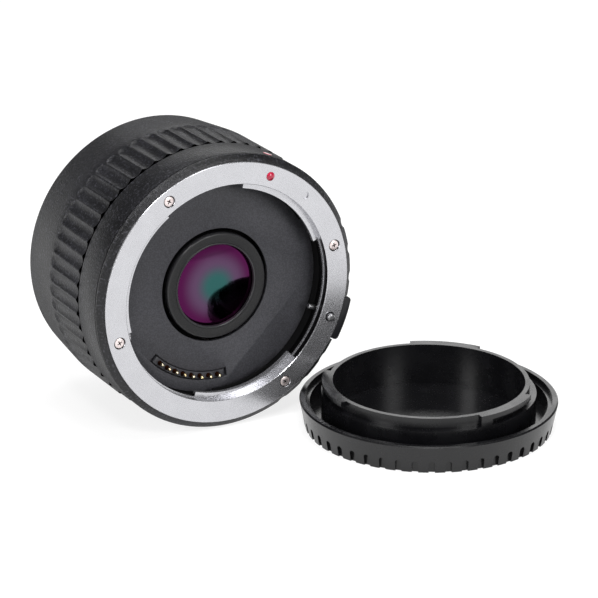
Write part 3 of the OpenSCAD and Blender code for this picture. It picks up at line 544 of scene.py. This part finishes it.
@dataclass(frozen=True)
class Coated:
    """Coated glass over a dark inside: a faint mirror whose tint changes from the middle to the rim."""

    name: str
    middle: str = "2f5a58"
    between: str = "57405a"
    edge: str = "4a1640"
    rim: float = 9.85 * MM
    haze: float = 0.08

    def material(self) -> bpy.types.Material:
        """Builds the finish."""
        paint = Paint.material(self.name)
        radius = paint.distance()
        cloud = paint.grain(3 * MM, 2.0)
        outward = radius / self.rim
        colour = paint.mix(outward.ramp(0.2, 0.6), tone(self.middle), tone(self.between))
        colour = paint.mix(outward.ramp(0.55, 0.95), colour, tone(self.edge))
        return paint.surface({
            "Base Color": colour,
            "Metallic": 1.0,
            "Roughness": cloud.ramp(0.3, 0.7, self.haze - 0.02, self.haze + 0.02),
        })


@dataclass(frozen=True)
class Clear:
    """Clear ground glass of a buried element, with a faint tint."""

    name: str
    colour: str

    def material(self) -> bpy.types.Material:
        """Builds the finish."""
        paint = Paint.material(self.name)
        cloud = paint.grain(4 * MM, 2.0)
        return paint.surface({
            "Base Color": paint.mix(cloud.ramp(0.3, 0.7), tone(self.colour), tone("ffffff")),
            "Roughness": 0.03,
            "Transmission Weight": 1.0,
            "IOR": 1.6,
        })


@dataclass(frozen=True)
class Laminate:
    """Flat sheet stock with printed tracks, such as a circuit board or a flexible cable."""

    name: str
    colour: str
    track: str
    pitch: float
    roughness: float = 0.45

    def material(self) -> bpy.types.Material:
        """Builds the finish."""
        paint = Paint.material(self.name)
        tracks = paint.rings(self.pitch)
        cloud = paint.grain(2 * MM, 2.0)
        return paint.surface({
            "Base Color": paint.mix(tracks.ramp(0.5, 0.55), tone(self.colour), tone(self.track)),
            "Roughness": cloud.ramp(0.3, 0.7, self.roughness - 0.05, self.roughness + 0.1),
            "Normal": paint.bump(tracks, 0.01 * MM, 0.5),
        })


class Bench:
    """Modelling steps that the sub-assemblies share."""

    @staticmethod
    def hold(piece: bpy.types.Object) -> None:
        """Makes a piece the only selected one, and the active one."""
        bpy.ops.object.select_all(action="DESELECT")
        piece.select_set(True)
        bpy.context.view_layer.objects.active = piece

    @staticmethod
    def edit(piece: bpy.types.Object) -> None:
        """Opens a piece in edit mode with everything selected."""
        Bench.hold(piece)
        bpy.ops.object.mode_set(mode="EDIT")
        bpy.ops.mesh.select_all(action="SELECT")

    @staticmethod
    def done() -> None:
        """Leaves edit mode."""
        bpy.ops.object.mode_set(mode="OBJECT")

    @staticmethod
    def pick(piece: bpy.types.Object, test: Callable[[Vector], bool]) -> None:
        """Selects the vertices of an opened piece that pass a test of their place."""
        bpy.ops.mesh.select_mode(type="VERT")
        bpy.ops.mesh.select_all(action="DESELECT")
        bpy.ops.object.mode_set(mode="OBJECT")
        for vertex in piece.data.vertices:
            vertex.select = test(vertex.co)
        bpy.ops.object.mode_set(mode="EDIT")

    @staticmethod
    def turn(name: str, profile: Sequence[Point], sides: int = 96) -> bpy.types.Object:
        """Turns a profile round the Y axis, as on a lathe.

        Args:
            name: The piece's name.
            profile: Radius and depth of each point, outside first; it closes on the axis or on itself.
            sides: Number of segments round the axis.

        Returns:
            The new piece.
        """
        points = [(max(radius, AXIS_POINT), depth) for radius, depth in profile]
        bpy.ops.object.select_all(action="DESELECT")
        bpy.ops.mesh.primitive_circle_add(
            vertices=sides,
            radius=points[0][0],
            location=(0, points[0][1], 0),
            rotation=(math.pi / 2, 0, 0),
        )
        piece = bpy.context.active_object
        piece.name = name
        bpy.ops.object.transform_apply()
        Bench.edit(piece)
        for (last_r, last_y), (radius, depth) in zip(points, points[1:]):
            bpy.ops.mesh.extrude_edges_move(
                TRANSFORM_OT_translate={"value": (0, depth - last_y, 0)}
            )
            share = radius / last_r
            bpy.ops.transform.resize(value=(share, 1, share), center_override=(0, depth, 0))
        bpy.ops.mesh.select_all(action="SELECT")
        bpy.ops.mesh.remove_doubles(threshold=MERGE)
        bpy.ops.mesh.normals_make_consistent(inside=False)
        Bench.done()
        return piece

    @staticmethod
    def copy_node(node: str, name: str) -> bpy.types.Object:
        """Copies a CAD node as one joined mesh with flat faces merged.

        Args:
            node: The CAD node's name.
            name: The new piece's name.

        Returns:
            The new piece.
        """
        piece = Bench.repeat(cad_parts[node], name)
        piece.parent = None
        for key in [key for key in piece.keys() if key.startswith("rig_")]:
            del piece[key]
        Bench.edit(piece)
        bpy.ops.mesh.customdata_custom_splitnormals_clear()
        bpy.ops.mesh.remove_doubles(threshold=2e-6)
        bpy.ops.mesh.dissolve_limited(angle_limit=math.radians(0.6))
        Bench.done()
        return piece

    @staticmethod
    def round_edges(piece: bpy.types.Object, width: float, angle: float = 30.0, segments: int = 2) -> None:
        """Rounds the edges that are sharper than an angle.

        Args:
            piece: The piece to round.
            width: Width of the rounding in metres.
            angle: Least angle of an edge that is rounded, in degrees.
            segments: Number of faces across the rounding.
        """
        Bench.hold(piece)
        rounding = piece.modifiers.new("rounding", "BEVEL")
        rounding.limit_method = "ANGLE"
        rounding.angle_limit = math.radians(angle)
        rounding.width = width
        rounding.segments = segments
        rounding.miter_outer = "MITER_ARC"
        bpy.ops.object.modifier_apply(modifier=rounding.name)

    @staticmethod
    def smooth(piece: bpy.types.Object, angle: float = 35.0) -> None:
        """Shades a piece smooth across edges up to an angle in degrees."""
        Bench.hold(piece)
        bpy.ops.object.shade_smooth_by_angle(angle=math.radians(angle))

    @staticmethod
    def cut(piece: bpy.types.Object, tool: bpy.types.Object) -> None:
        """Cuts a tool's shape out of a piece and throws the tool away."""
        Bench.hold(piece)
        cut = piece.modifiers.new("cut", "BOOLEAN")
        cut.operation = "DIFFERENCE"
        cut.solver = "EXACT"
        cut.object = tool
        bpy.ops.object.modifier_apply(modifier=cut.name)
        bpy.data.objects.remove(tool)

    @staticmethod
    def repeat(piece: bpy.types.Object, name: str) -> bpy.types.Object:
        """Copies a piece with a mesh of its own."""
        twin = piece.copy()
        twin.data = piece.data.copy()
        twin.name = name
        bpy.context.scene.collection.objects.link(twin)
        return twin

    @staticmethod
    def move(piece: bpy.types.Object, offset: Sequence[float], spin: float = 0.0) -> None:
        """Turns a mesh about the Y axis through the origin and then moves it.

        Args:
            piece: The piece to move.
            offset: Distance in metres.
            spin: Turn in radians.
        """
        Bench.edit(piece)
        if spin:
            bpy.ops.transform.rotate(value=spin, orient_axis="Y", center_override=(0, 0, 0))
        bpy.ops.transform.translate(value=tuple(offset))
        Bench.done()

    @staticmethod
    def loose_centres(node: str) -> list[Vector]:
        """Finds the middle of each separate solid of a CAD node."""
        copy = Bench.copy_node(node, "loose")
        Bench.edit(copy)
        bpy.ops.mesh.separate(type="LOOSE")
        Bench.done()
        solids = list(bpy.context.selected_objects)
        centres = []
        for solid in solids:
            corners = [Vector(corner) for corner in solid.bound_box]
            centres.append(sum(corners, Vector()) / len(corners))
        for solid in solids:
            bpy.data.objects.remove(solid)
        return sorted(centres, key=lambda centre: math.atan2(centre.x, centre.z))

    @staticmethod
    def dress(
        piece: bpy.types.Object,
        finish: bpy.types.Material,
        body: str,
        slot: Slot,
        nodes: Sequence[str] = (),
    ) -> None:
        """Gives a new piece its finish and its place in the model.

        Args:
            piece: The new piece.
            finish: Its material.
            body: The body that it rides on.
            slot: The record's slot that its finish belongs to; not used.
            nodes: The CAD nodes that it stands for.
        """
        piece.data.materials.clear()
        piece.data.materials.append(finish)
        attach(piece, body)
        if nodes:
            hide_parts(*nodes)
        LOG.info("%s: %d faces on %s", piece.name, len(piece.data.polygons), body)

    @staticmethod
    def soften(
        node: str,
        name: str,
        width: float,
        finish: bpy.types.Material,
        slot: Slot,
        body: str = "barrel",
        angle: float = 30.0,
        segments: int = 2,
        shading: float = 35.0,
    ) -> None:
        """Puts a copy of a CAD node with rounded edges in its place.

        Args:
            node: The CAD node's name.
            name: The new piece's name.
            width: Width of the rounding in metres.
            finish: The new piece's material.
            slot: The record's slot that the finish belongs to.
            body: The body that the piece rides on.
            angle: Least angle of an edge that is rounded, in degrees.
            segments: Number of faces across the rounding.
            shading: Greatest angle that is shaded smooth, in degrees.
        """
        piece = Bench.copy_node(node, name)
        Bench.round_edges(piece, width, angle, segments)
        Bench.smooth(piece, shading)
        Bench.dress(piece, finish, body, slot, [node])

    @staticmethod
    def finish_node(node: str, finish: bpy.types.Material) -> None:
        """Gives a CAD node that stays as it is its finish."""
        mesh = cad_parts[node].data
        mesh.materials.clear()
        mesh.materials.append(finish)
        LOG.info("%s: CAD solid kept, finish %s", node, finish.name)


class Finishes:
    """The finishes that are shared by several sub-assemblies, each made once."""

    def __init__(self) -> None:
        """Builds every shared finish."""
        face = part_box("front_mount_ring")[0].y
        # seats where shade is painted dark: the four screws and the lock pin
        seats = [(seat.x, seat.z, SEAT_R) for seat in Bench.loose_centres("front_mount_screws")]
        low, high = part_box("lock_pin")
        seats.append(((low.x + high.x) / 2, (low.z + high.z) / 2, PIN_SEAT_R))
        self.ring = Turned(
            "satin_mount_metal",
            "cbcbcf",
            0.25,
            metallic=0.88,
            spread=0.045,
            # dark painted shade deep in the bore
            shade_from_y=face + TAB_BACK,
            seats=tuple(seats),
            # dark painted shade on the throat wall in the slots
            wall=(THROAT_R, face + THROAT_DEPTHS[0], face + THROAT_DEPTHS[1]),
            slots=tuple((ROLL + math.radians(middle), math.radians(half)) for middle, half in SLOTS),
        ).material()
        self.rear_ring = Turned("rear_mount_metal", "cbcbcf", 0.26).material()
        self.screw = Plated("screw_nickel", "e6dcd8", "bfa9a3", 0.22).material()
        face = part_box("front_mount_screws")[0].y
        # screw heads darken past a depth in the countersink: painted shade
        self.front_screw = Plated(
            "front_screw_nickel", "efe4e2", "d8c8c6", 0.4,
            lit_y=face + 0.14 * MM, shaded_y=face + 0.24 * MM
        ).material()
        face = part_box("rear_mount_screws")[1].y
        # screw heads darken past a depth in the countersink: painted shade
        self.rear_screw = Plated(
            "rear_screw_nickel", "dcd2cf", "b9a29c", 0.25,
            lit_y=face - 0.15 * MM, shaded_y=face - 0.25 * MM
        ).material()
        self.steel = Plated("spring_steel", "9a9a9c", "77777a", 0.3).material()
        self.gold = Plated("pad_gold", "ffd98a", "e0a850", 0.25).material()
        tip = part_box("contact_pin_1")[0].y
        # plungers turn brown past a depth in their bores: painted shade
        self.pin_gold = Plated(
            "contact_gold", "fff4d2", "ffe2a0", 0.2, recess_shade_colour="6e3c1e",
            lit_y=tip + 0.4 * MM, shaded_y=tip + 0.75 * MM
        ).material()
        self.red = Lacquered("index_red", "cc1442", "9c0d32").material()
        # the seam between band and grip, where shade is painted black
        seam = (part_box("front_band")[1].y - 0.05 * MM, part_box("grip_shell")[0].y + 0.02 * MM)
        self.barrel = Grained(
            "barrel_black", "0b0b0d", 0.34, grain=0.52 * MM, depth=0.14 * MM, specular=0.42,
            speckle=8.5, specks=(0.52, 0.72), glancing=0.42, seam=seam
        ).material()
        self.button = Grained("button_black", "17171a", 0.4, 0.3 * MM, 0.02 * MM, 0.4).material()
        self.baffle = Grained("baffle_black", "38383c", 0.55, 0.3 * MM, 0.02 * MM, 0.4, 0.4).material()
        self.block = Moulded("contact_block_black", "3a3a3e", 0.5, 0.45).material()
        self.bore = Grained("bore_black", "0a0a0b", 0.7, 0.15 * MM, 0.01 * MM, 0.1).material()
        self.tube = Turned("tube_anodised", "141416", 0.45, metallic=0.2).material()
        # the bezel's edge radii carry a painted highlight
        self.bezel = Anodised("bezel_black", "151516", 0.45, 0.4, (10.45 * MM, 13.13 * MM)).material()
        self.cap = Moulded("cap_black", "0c0c0e", 0.25, 0.5).material()
        self.board = Laminate("board_green", "1f5a3a", "2f7a50", 0.8 * MM).material()
        self.film = Laminate("film_amber", "b0702c", "d79a4a", 0.6 * MM).material()
        self.chip = Moulded("chip_black", "1a1a1c", 0.4).material()
        self.glass = Clear("buried_glass", "e8f0ee").material()


@dataclass
class CrossScrew:
    """A countersunk screw with a cross recess, its head face at the origin and its shank along +Y."""

    head_r: float = 1.2 * MM
    head_h: float = 0.9 * MM
    shank_r: float = 0.8 * MM
    length: float = 5.0 * MM
    crown: float = 0.08 * MM
    rim: float = 0.12 * MM
    slot_w: float = 0.34 * MM
    slot_l: float = 1.5 * MM
    slot_h: float = 0.45 * MM
    taper: float = 0.55
    thread: float = 0.4 * MM
    ridge: float = 0.12 * MM

    def build(self, name: str) -> bpy.types.Object:
        """Models the screw.

        Args:
            name: The piece's name.

        Returns:
            The screw at the origin.
        """
        profile = [(0, -self.crown), (0.5 * self.head_r, -0.75 * self.crown)]
        profile += [(self.head_r - self.rim, 0), (self.head_r, 0.4 * self.rim)]
        profile += [(self.head_r, self.rim), (self.shank_r, self.head_h)]
        depth = self.head_h + self.thread
        while depth < self.length - self.thread:
            profile += [(self.shank_r - self.ridge, depth), (self.shank_r, depth + self.thread / 2)]
            depth += self.thread
        profile += [(0.4 * self.shank_r, self.length), (0, self.length)]
        screw = Bench.turn(name, profile, 40)
        for turn in (0.0, math.pi / 2):
            Bench.cut(screw, self.recess_tool(turn))
        Bench.smooth(screw, 40)
        return screw

    @staticmethod
    def fit(
        model: bpy.types.Object, node: str, depth: float, spins: Sequence[float], finish: bpy.types.Material
    ) -> None:
        """Sets a screw and copies of it in the seats of a CAD node's screws.

        Args:
            model: The first screw, at the origin, with a name that ends in 1.
            node: The CAD node of the screws.
            depth: Place of the heads' faces along Y.
            spins: Turn of each screw in radians.
            finish: The screws' material.
        """
        stem = model.name[:-1]
        screws = [model] + [Bench.repeat(model, f"{stem}{index}") for index in range(2, len(spins) + 1)]
        for screw, seat, spin in zip(screws, Bench.loose_centres(node), spins):
            Bench.move(screw, (seat.x, depth, seat.z), spin)
            Bench.dress(screw, finish, "barrel", Slot.SCREW_METAL, [node])

    def recess_tool(self, turn: float) -> bpy.types.Object:
        """Models one arm of the cross recess, narrower at its floor.

        Args:
            turn: Turn about the screw's axis in radians.

        Returns:
            The cutting tool.
        """
        bpy.ops.object.select_all(action="DESELECT")
        bpy.ops.mesh.primitive_cube_add(size=1.0, location=(0, 0, 0))
        tool = bpy.context.active_object
        Bench.edit(tool)
        bpy.ops.transform.resize(value=(self.slot_l, 2 * self.slot_h, self.slot_w))
        Bench.pick(tool, lambda place: place.y > 0)
        bpy.ops.transform.resize(value=(self.taper, 1, self.taper), center_override=(0, 0, 0))
        bpy.ops.mesh.select_all(action="SELECT")
        if turn:
            bpy.ops.transform.rotate(value=turn, orient_axis="Y", center_override=(0, 0, 0))
        Bench.done()
        return tool


@dataclass
class FrontMount:
    """The bright bayonet ring with its screws, index dot, stop peg and leaf spring."""

    finishes: Finishes
    ring_round: float = 0.07 * MM
    peg_round: float = 0.2 * MM
    leaf_round: float = 0.04 * MM
    screw_sink: float = 0.06 * MM
    screw_spins: tuple[float, ...] = (0.5, 1.1, 0.2, 0.8)
    dot_dome: float = 0.42 * MM
    dot_sides: int = 48

    def build(self) -> None:
        """Builds and dresses the sub-assembly."""
        looks = self.finishes
        Bench.soften("front_mount_ring", "front_bayonet_ring", self.ring_round, looks.ring, Slot.MOUNT_METAL)
        self.screws()
        self.index_dot()
        Bench.soften("stop_peg", "stop_peg_turned", self.peg_round, looks.steel, Slot.STEEL, segments=3)
        # the steel leaf spring takes the black bore finish as painted shade, so it stays dark in the throat
        Bench.soften("bayonet_spring", "bayonet_leaf_spring", self.leaf_round, looks.bore, Slot.STEEL)

    def screws(self) -> None:
        """Sets a cross-head screw in each seat."""
        model = CrossScrew().build("front_screw_1")
        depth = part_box("front_mount_screws")[0].y + self.screw_sink
        CrossScrew.fit(model, "front_mount_screws", depth, self.screw_spins, self.finishes.front_screw)

    def index_dot(self) -> None:
        """Models the domed index dot."""
        low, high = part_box("index_dot")
        middle = (low + high) / 2
        radius = (high.x - low.x) / 2
        dome_r = (radius ** 2 + self.dot_dome ** 2) / (2 * self.dot_dome)
        half = math.degrees(math.asin(radius / dome_r))
        profile = arc((0, dome_r), dome_r, -90, -90 + half, 8)
        profile += [(radius, high.y - low.y), (0, high.y - low.y)]
        dot = Bench.turn("index_dot_dome", profile, self.dot_sides)
        Bench.smooth(dot)
        Bench.move(dot, (middle.x, low.y, middle.z))
        Bench.dress(dot, self.finishes.red, "barrel", Slot.INDEX_RED, ["index_dot"])


@dataclass
class Barrel:
    """The outer shells: the front band with its index mark and the fluted grip shell, over the frame."""

    finishes: Finishes
    band_round: float = 0.1 * MM
    flute_round: float = 0.12 * MM
    mark_round: float = 0.06 * MM

    def build(self) -> None:
        """Builds and dresses the sub-assembly."""
        looks = self.finishes
        Bench.soften("front_band", "front_band_shell", self.band_round, looks.barrel, Slot.BARREL_BLACK)
        Bench.soften("band_index_mark", "band_index_disc", self.mark_round, looks.red, Slot.INDEX_RED)
        Bench.soften(
            "grip_shell", "fluted_grip", self.flute_round, looks.barrel, Slot.BARREL_BLACK, angle=18, shading=40
        )
        Bench.finish_node("inner_frame", looks.bore)


@dataclass
class LensCell:
    """The lens tube with its bezel and its four elements."""

    finishes: Finishes
    sides: int = 128
    wall: float = 2.98 * MM
    slope: float = 0.35 * MM
    edge: float = 0.5 * MM
    bead: float = 0.3 * MM
    front_r: float = 45 * MM
    rear_r: float = 45 * MM
    skirt: float = 1.5 * MM

    def build(self) -> None:
        """Builds and dresses the sub-assembly."""
        self.bezel()
        self.element("lens_1", "front_element", self.front_r, "front_coating", 1)
        self.element("lens_4", "rear_element", self.rear_r, "rear_coating", -1)
        for node in ("lens_2", "lens_3"):
            Bench.finish_node(node, self.finishes.glass)
        for node in ("lens_tube", "lens_spacer_1", "lens_spacer_2", "rear_retainer"):
            Bench.finish_node(node, self.finishes.tube)
        Bench.finish_node("lens_tube_screws", self.finishes.screw)

    def bezel(self) -> None:
        """Models the bezel with a rounded edge and a bead round the glass."""
        low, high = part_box("lens_bezel")
        outer = high.x
        clear = outer - self.wall
        profile = [(outer, high.y)]
        profile += arc((outer - self.edge, low.y + self.edge), self.edge, 0, -90, 6)
        profile += [(clear + 3 * self.bead, low.y + self.slope), (clear + 2 * self.bead, low.y + self.slope)]
        profile += arc((clear + self.bead, low.y + self.slope + 0.1 * MM), self.bead, 0, -180, 10)
        profile += [(clear, high.y), (outer, high.y)]
        bezel = Bench.turn("lens_bezel_ring", profile, self.sides)
        Bench.smooth(bezel)
        Bench.dress(bezel, self.finishes.bezel, "barrel", Slot.TUBE_BLACK, ["lens_bezel"])

    def element(self, node: str, name: str, radius: float, coating: str, side: int) -> None:
        """Models an outer element with its coating.

        Args:
            node: The CAD node's name.
            name: The piece's name.
            radius: Radius of the outer face.
            coating: Name of the coating's material.
            side: 1 for a face to the front and -1 for a face to the rear.
        """
        low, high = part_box(node)
        apex = low.y if side > 0 else high.y
        half = math.degrees(math.asin(high.x / radius))
        profile = arc((0, apex + side * radius), radius, -90 * side, (half - 90) * side, 24)
        back = profile[-1][1] + side * self.skirt
        profile += [(high.x, back), (0, back)]
        glass = Bench.turn(name, profile, self.sides)
        Bench.smooth(glass)
        Bench.dress(glass, Coated(coating).material(), "barrel", Slot.LENS_GLASS, [node])


@dataclass
class Contacts:
    """The baffle with the sprung contacts in front, and the board and cables behind it."""

    finishes: Finishes
    pin_sides: int = 32
    pin_count: int = 8
    tip_share: float = 0.8
    edge: float = 0.06 * MM

    def build(self) -> None:
        """Builds and dresses the sub-assembly."""
        looks = self.finishes
        Bench.soften("front_baffle", "front_baffle_plate", self.edge, looks.baffle, Slot.BAFFLE_BLACK)
        Bench.soften("front_contact_block", "contact_block_moulding", self.edge, looks.block, Slot.BLOCK_BLACK)
        self.pins()
        Bench.finish_node("circuit_board", self.finishes.board)
        Bench.finish_node("control_chips", self.finishes.chip)
        for node in ("front_cable", "rear_cable"):
            Bench.finish_node(node, self.finishes.film)

    def pins(self) -> None:
        """Models one plunger and sets a copy of it in each bore."""
        low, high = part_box("contact_pin_1")
        radius = (high.x - low.x) / 2
        tip_r = self.tip_share * radius
        length = high.y - low.y
        profile = arc((0, tip_r), tip_r, -90, -10, 8)
        profile += [(tip_r, 1.6 * radius), (radius, 2.0 * radius), (radius, length), (0, length)]
        model = Bench.turn("contact_plunger_1", profile, self.pin_sides)
        Bench.smooth(model, 30)
        pins = [model]
        pins += [Bench.repeat(model, f"contact_plunger_{index}") for index in range(2, self.pin_count + 1)]
        for index, pin in enumerate(pins, 1):
            node = f"contact_pin_{index}"
            low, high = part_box(node)
            Bench.move(pin, ((low.x + high.x) / 2, low.y, (low.z + high.z) / 2))
            Bench.dress(pin, self.finishes.pin_gold, node, Slot.CONTACT_GOLD, [node])


@dataclass
class ReleaseGroup:
    """The release button, slider, lock pin and return spring."""

    finishes: Finishes
    button_round: float = 0.3 * MM
    pin_dome: float = 0.45 * MM
    pin_sides: int = 48

    def build(self) -> None:
        """Builds and dresses the sub-assembly."""
        Bench.soften(
            "release_button", "release_button_cap", self.button_round, self.finishes.button,
            Slot.BUTTON_BLACK, "release", segments=3, shading=40
        )
        self.lock_pin()
        Bench.finish_node("release_slider", self.finishes.steel)
        Bench.finish_node("release_spring", self.finishes.steel)

    def lock_pin(self) -> None:
        """Models the lock pin with its domed end."""
        low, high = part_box("lock_pin")
        radius = (high.x - low.x) / 2
        flat = radius - self.pin_dome
        profile = [(0, 0), (flat, 0)]
        profile += arc((flat, self.pin_dome), self.pin_dome, -80, 0, 6)
        profile += [(radius, high.y - low.y), (0, high.y - low.y)]
        pin = Bench.turn("lock_pin_turned", profile, self.pin_sides)
        Bench.smooth(pin)
        Bench.move(pin, ((low.x + high.x) / 2, low.y, (low.z + high.z) / 2))
        Bench.dress(pin, self.finishes.steel, "release", Slot.STEEL, ["lock_pin"])


@dataclass
class RearMount:
    """The male bayonet behind, with its screws, baffle and contact pads."""

    finishes: Finishes
    edge: float = 0.1 * MM
    pad_edge: float = 0.05 * MM
    screw_sink: float = 0.1 * MM
    screw_spins: tuple[float, ...] = (0.3, 0.9, 1.3, 0.1)

    def build(self) -> None:
        """Builds and dresses the sub-assembly."""
        looks = self.finishes
        Bench.soften("rear_mount", "rear_bayonet", self.edge, looks.rear_ring, Slot.MOUNT_METAL)
        Bench.soften("rear_baffle", "rear_baffle_plate", self.edge, looks.baffle, Slot.BAFFLE_BLACK)
        Bench.soften("rear_contact_block", "rear_block_moulding", self.edge, looks.block, Slot.BLOCK_BLACK)
        Bench.soften("rear_contact_pads", "rear_pads", self.pad_edge, looks.gold, Slot.CONTACT_GOLD)
        self.screws()

    def screws(self) -> None:
        """Sets a cross-head screw in each seat, facing backwards."""
        model = CrossScrew().build("rear_screw_1")
        Bench.edit(model)
        bpy.ops.transform.rotate(value=math.pi, orient_axis="Z", center_override=(0, 0, 0))
        Bench.done()
        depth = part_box("rear_mount_screws")[1].y - self.screw_sink
        CrossScrew.fit(model, "rear_mount_screws", depth, self.screw_spins, self.finishes.rear_screw)


@dataclass
class MountCap:
    """The plastic cap that lies beside the barrel."""

    finishes: Finishes
    edge: float = 0.18 * MM
    floor_t: float = 1.65 * MM
    floor_r: float = 23.3 * MM
    floor_drop: float = 0.6 * MM

    def build(self) -> None:
        """Builds and dresses the cap."""
        cap = Bench.copy_node("mount_cap", "mount_cap_moulding")
        low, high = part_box("mount_cap")
        middle = (low + high) / 2
        level = low.z + self.floor_t

        def on_floor(place: Vector) -> bool:
            """Tells whether a point lies on the floor inside the tube."""
            reach = math.hypot(place.x - middle.x, place.y - middle.y)
            return abs(place.z - level) < 0.05 * MM and reach < self.floor_r + 0.1 * MM

        Bench.edit(cap)
        Bench.pick(cap, on_floor)
        bpy.ops.transform.translate(value=(0, 0, -self.floor_drop))
        Bench.done()
        Bench.round_edges(cap, self.edge)
        Bench.smooth(cap, 40)
        Bench.dress(cap, self.finishes.cap, "cap", Slot.CAP_BLACK, ["mount_cap"])


@dataclass
class Lamp:
    """One soft box."""

    name: str
    place: tuple[float, float, float]
    width: float
    height: float
    power: float
    target: tuple[float, float, float] = (0.02, 0.0, 0.0)

    def build(self) -> None:
        """Hangs the lamp and aims it."""
        light = bpy.data.lights.new(self.name, "AREA")
        light.shape = "RECTANGLE"
        light.size = self.width
        light.size_y = self.height
        light.energy = self.power
        hung = bpy.data.objects.new(self.name, light)
        bpy.context.scene.collection.objects.link(hung)
        hung.location = self.place
        aim = Vector(self.target) - Vector(self.place)
        hung.rotation_euler = aim.to_track_quat("-Z", "Y").to_euler()


@dataclass
class Studio:
    """The pale floor, the soft lamps, the white surroundings and the camera."""

    floor_size: float = 6.0
    floor_tone: float = 0.3
    floor_glow: float = 0.78
    ambient: float = 0.25
    overhead: float = 0.12
    camera_place: tuple[float, float, float] = (-0.30554, -0.58054, 0.24418)
    camera_tilt: float = 0.358187
    camera_pan: float = 0.50989
    focal: float = 177.175
    lamps: list[Lamp] = field(default_factory=lambda: [
        Lamp("top_softbox", (0.1, -0.05, 0.8), 0.6, 0.5, 5.0),
        Lamp("key_softbox", (-0.3, -0.45, 0.62), 0.14, 0.14, 1.8),
        Lamp("back_softbox", (0.52, 0.82, 0.38), 0.6, 0.3, 1.2),
        Lamp("left_softbox", (-0.8, -0.14, 0.3), 0.26, 0.5, 4.0),
        Lamp("front_softbox", (0.22, -0.83, 0.32), 0.28, 0.45, 3.4),
    ])

    def build(self) -> None:
        """Builds the studio."""
        self.floor()
        self.surroundings()
        self.camera()
        for lamp in self.lamps:
            lamp.build()
        bpy.context.scene.view_settings.view_transform = "Standard"

    @staticmethod
    def seen(paint: Paint) -> Wire:
        """Gives 1 for rays that show the background, and 0 for rays that light the object."""
        names = ("Is Camera Ray", "Is Glossy Ray", "Is Transmission Ray")
        rays = [paint.node("ShaderNodeLightPath", output=name) for name in names]
        return rays[0].either(rays[1]).either(rays[2])

    def floor(self) -> None:
        """Lays a pale floor that shows white and keeps the shadows."""
        bpy.ops.object.select_all(action="DESELECT")
        level = CAD_BOX[0].z
        bpy.ops.mesh.primitive_plane_add(size=self.floor_size, location=(0, 0, level))
        floor = bpy.context.active_object
        floor.name = "studio_floor"
        bpy.ops.object.transform_apply()
        paint = Paint.material("floor_white")
        lit = paint.node("ShaderNodeBsdfDiffuse", inputs={"Color": 3 * (self.floor_tone,) + (1.0,)})
        glow = paint.node("ShaderNodeEmission", inputs={"Strength": self.seen(paint) * self.floor_glow})
        both = paint.node("ShaderNodeAddShader", inputs={0: lit, 1: glow})
        floor.data.materials.append(paint.close(both))

    def surroundings(self) -> None:
        """Makes the world white to the camera and low down in reflections, and dimmer overhead."""
        world = bpy.data.worlds.new("studio_white")
        bpy.context.scene.world = world
        world.use_nodes = True
        paint = Paint(world.node_tree)
        direction = paint.node("ShaderNodeTexCoord", output="Generated")
        rise = paint.part(direction, "Z")
        white = rise.ramp(0.0, 0.16, 1.0, self.overhead)
        seen = self.seen(paint)
        camera = paint.node("ShaderNodeLightPath", output="Is Camera Ray")
        strength = (seen * white + (1 - seen) * self.ambient).either(camera)
        shader = paint.node("ShaderNodeBackground", inputs={"Color": (1, 1, 1, 1), "Strength": strength})
        paint.node("ShaderNodeOutputWorld", inputs={"Surface": shader})

    def camera(self) -> None:
        """Sets the camera at the viewing angle."""
        lens = bpy.data.cameras.new("camera")
        lens.lens = self.focal
        lens.clip_start = 0.01
        camera = bpy.data.objects.new("camera", lens)
        bpy.context.scene.collection.objects.link(camera)
        camera.location = self.camera_place
        camera.rotation_euler = (math.pi / 2 - self.camera_tilt, 0, -self.camera_pan)
        bpy.context.scene.camera = camera


def main() -> None:
    """Builds the sub-assemblies in order, then the studio."""
    logging.basicConfig(level=logging.INFO, format="%(name)s %(message)s")
    finishes = Finishes()
    for assembly in (
        FrontMount(finishes),
        Barrel(finishes),
        LensCell(finishes),
        Contacts(finishes),
        ReleaseGroup(finishes),
        RearMount(finishes),
        MountCap(finishes),
    ):
        LOG.info("building %s", type(assembly).__name__)
        assembly.build()
    Studio().build()


if __name__ == "__main__":
    main()
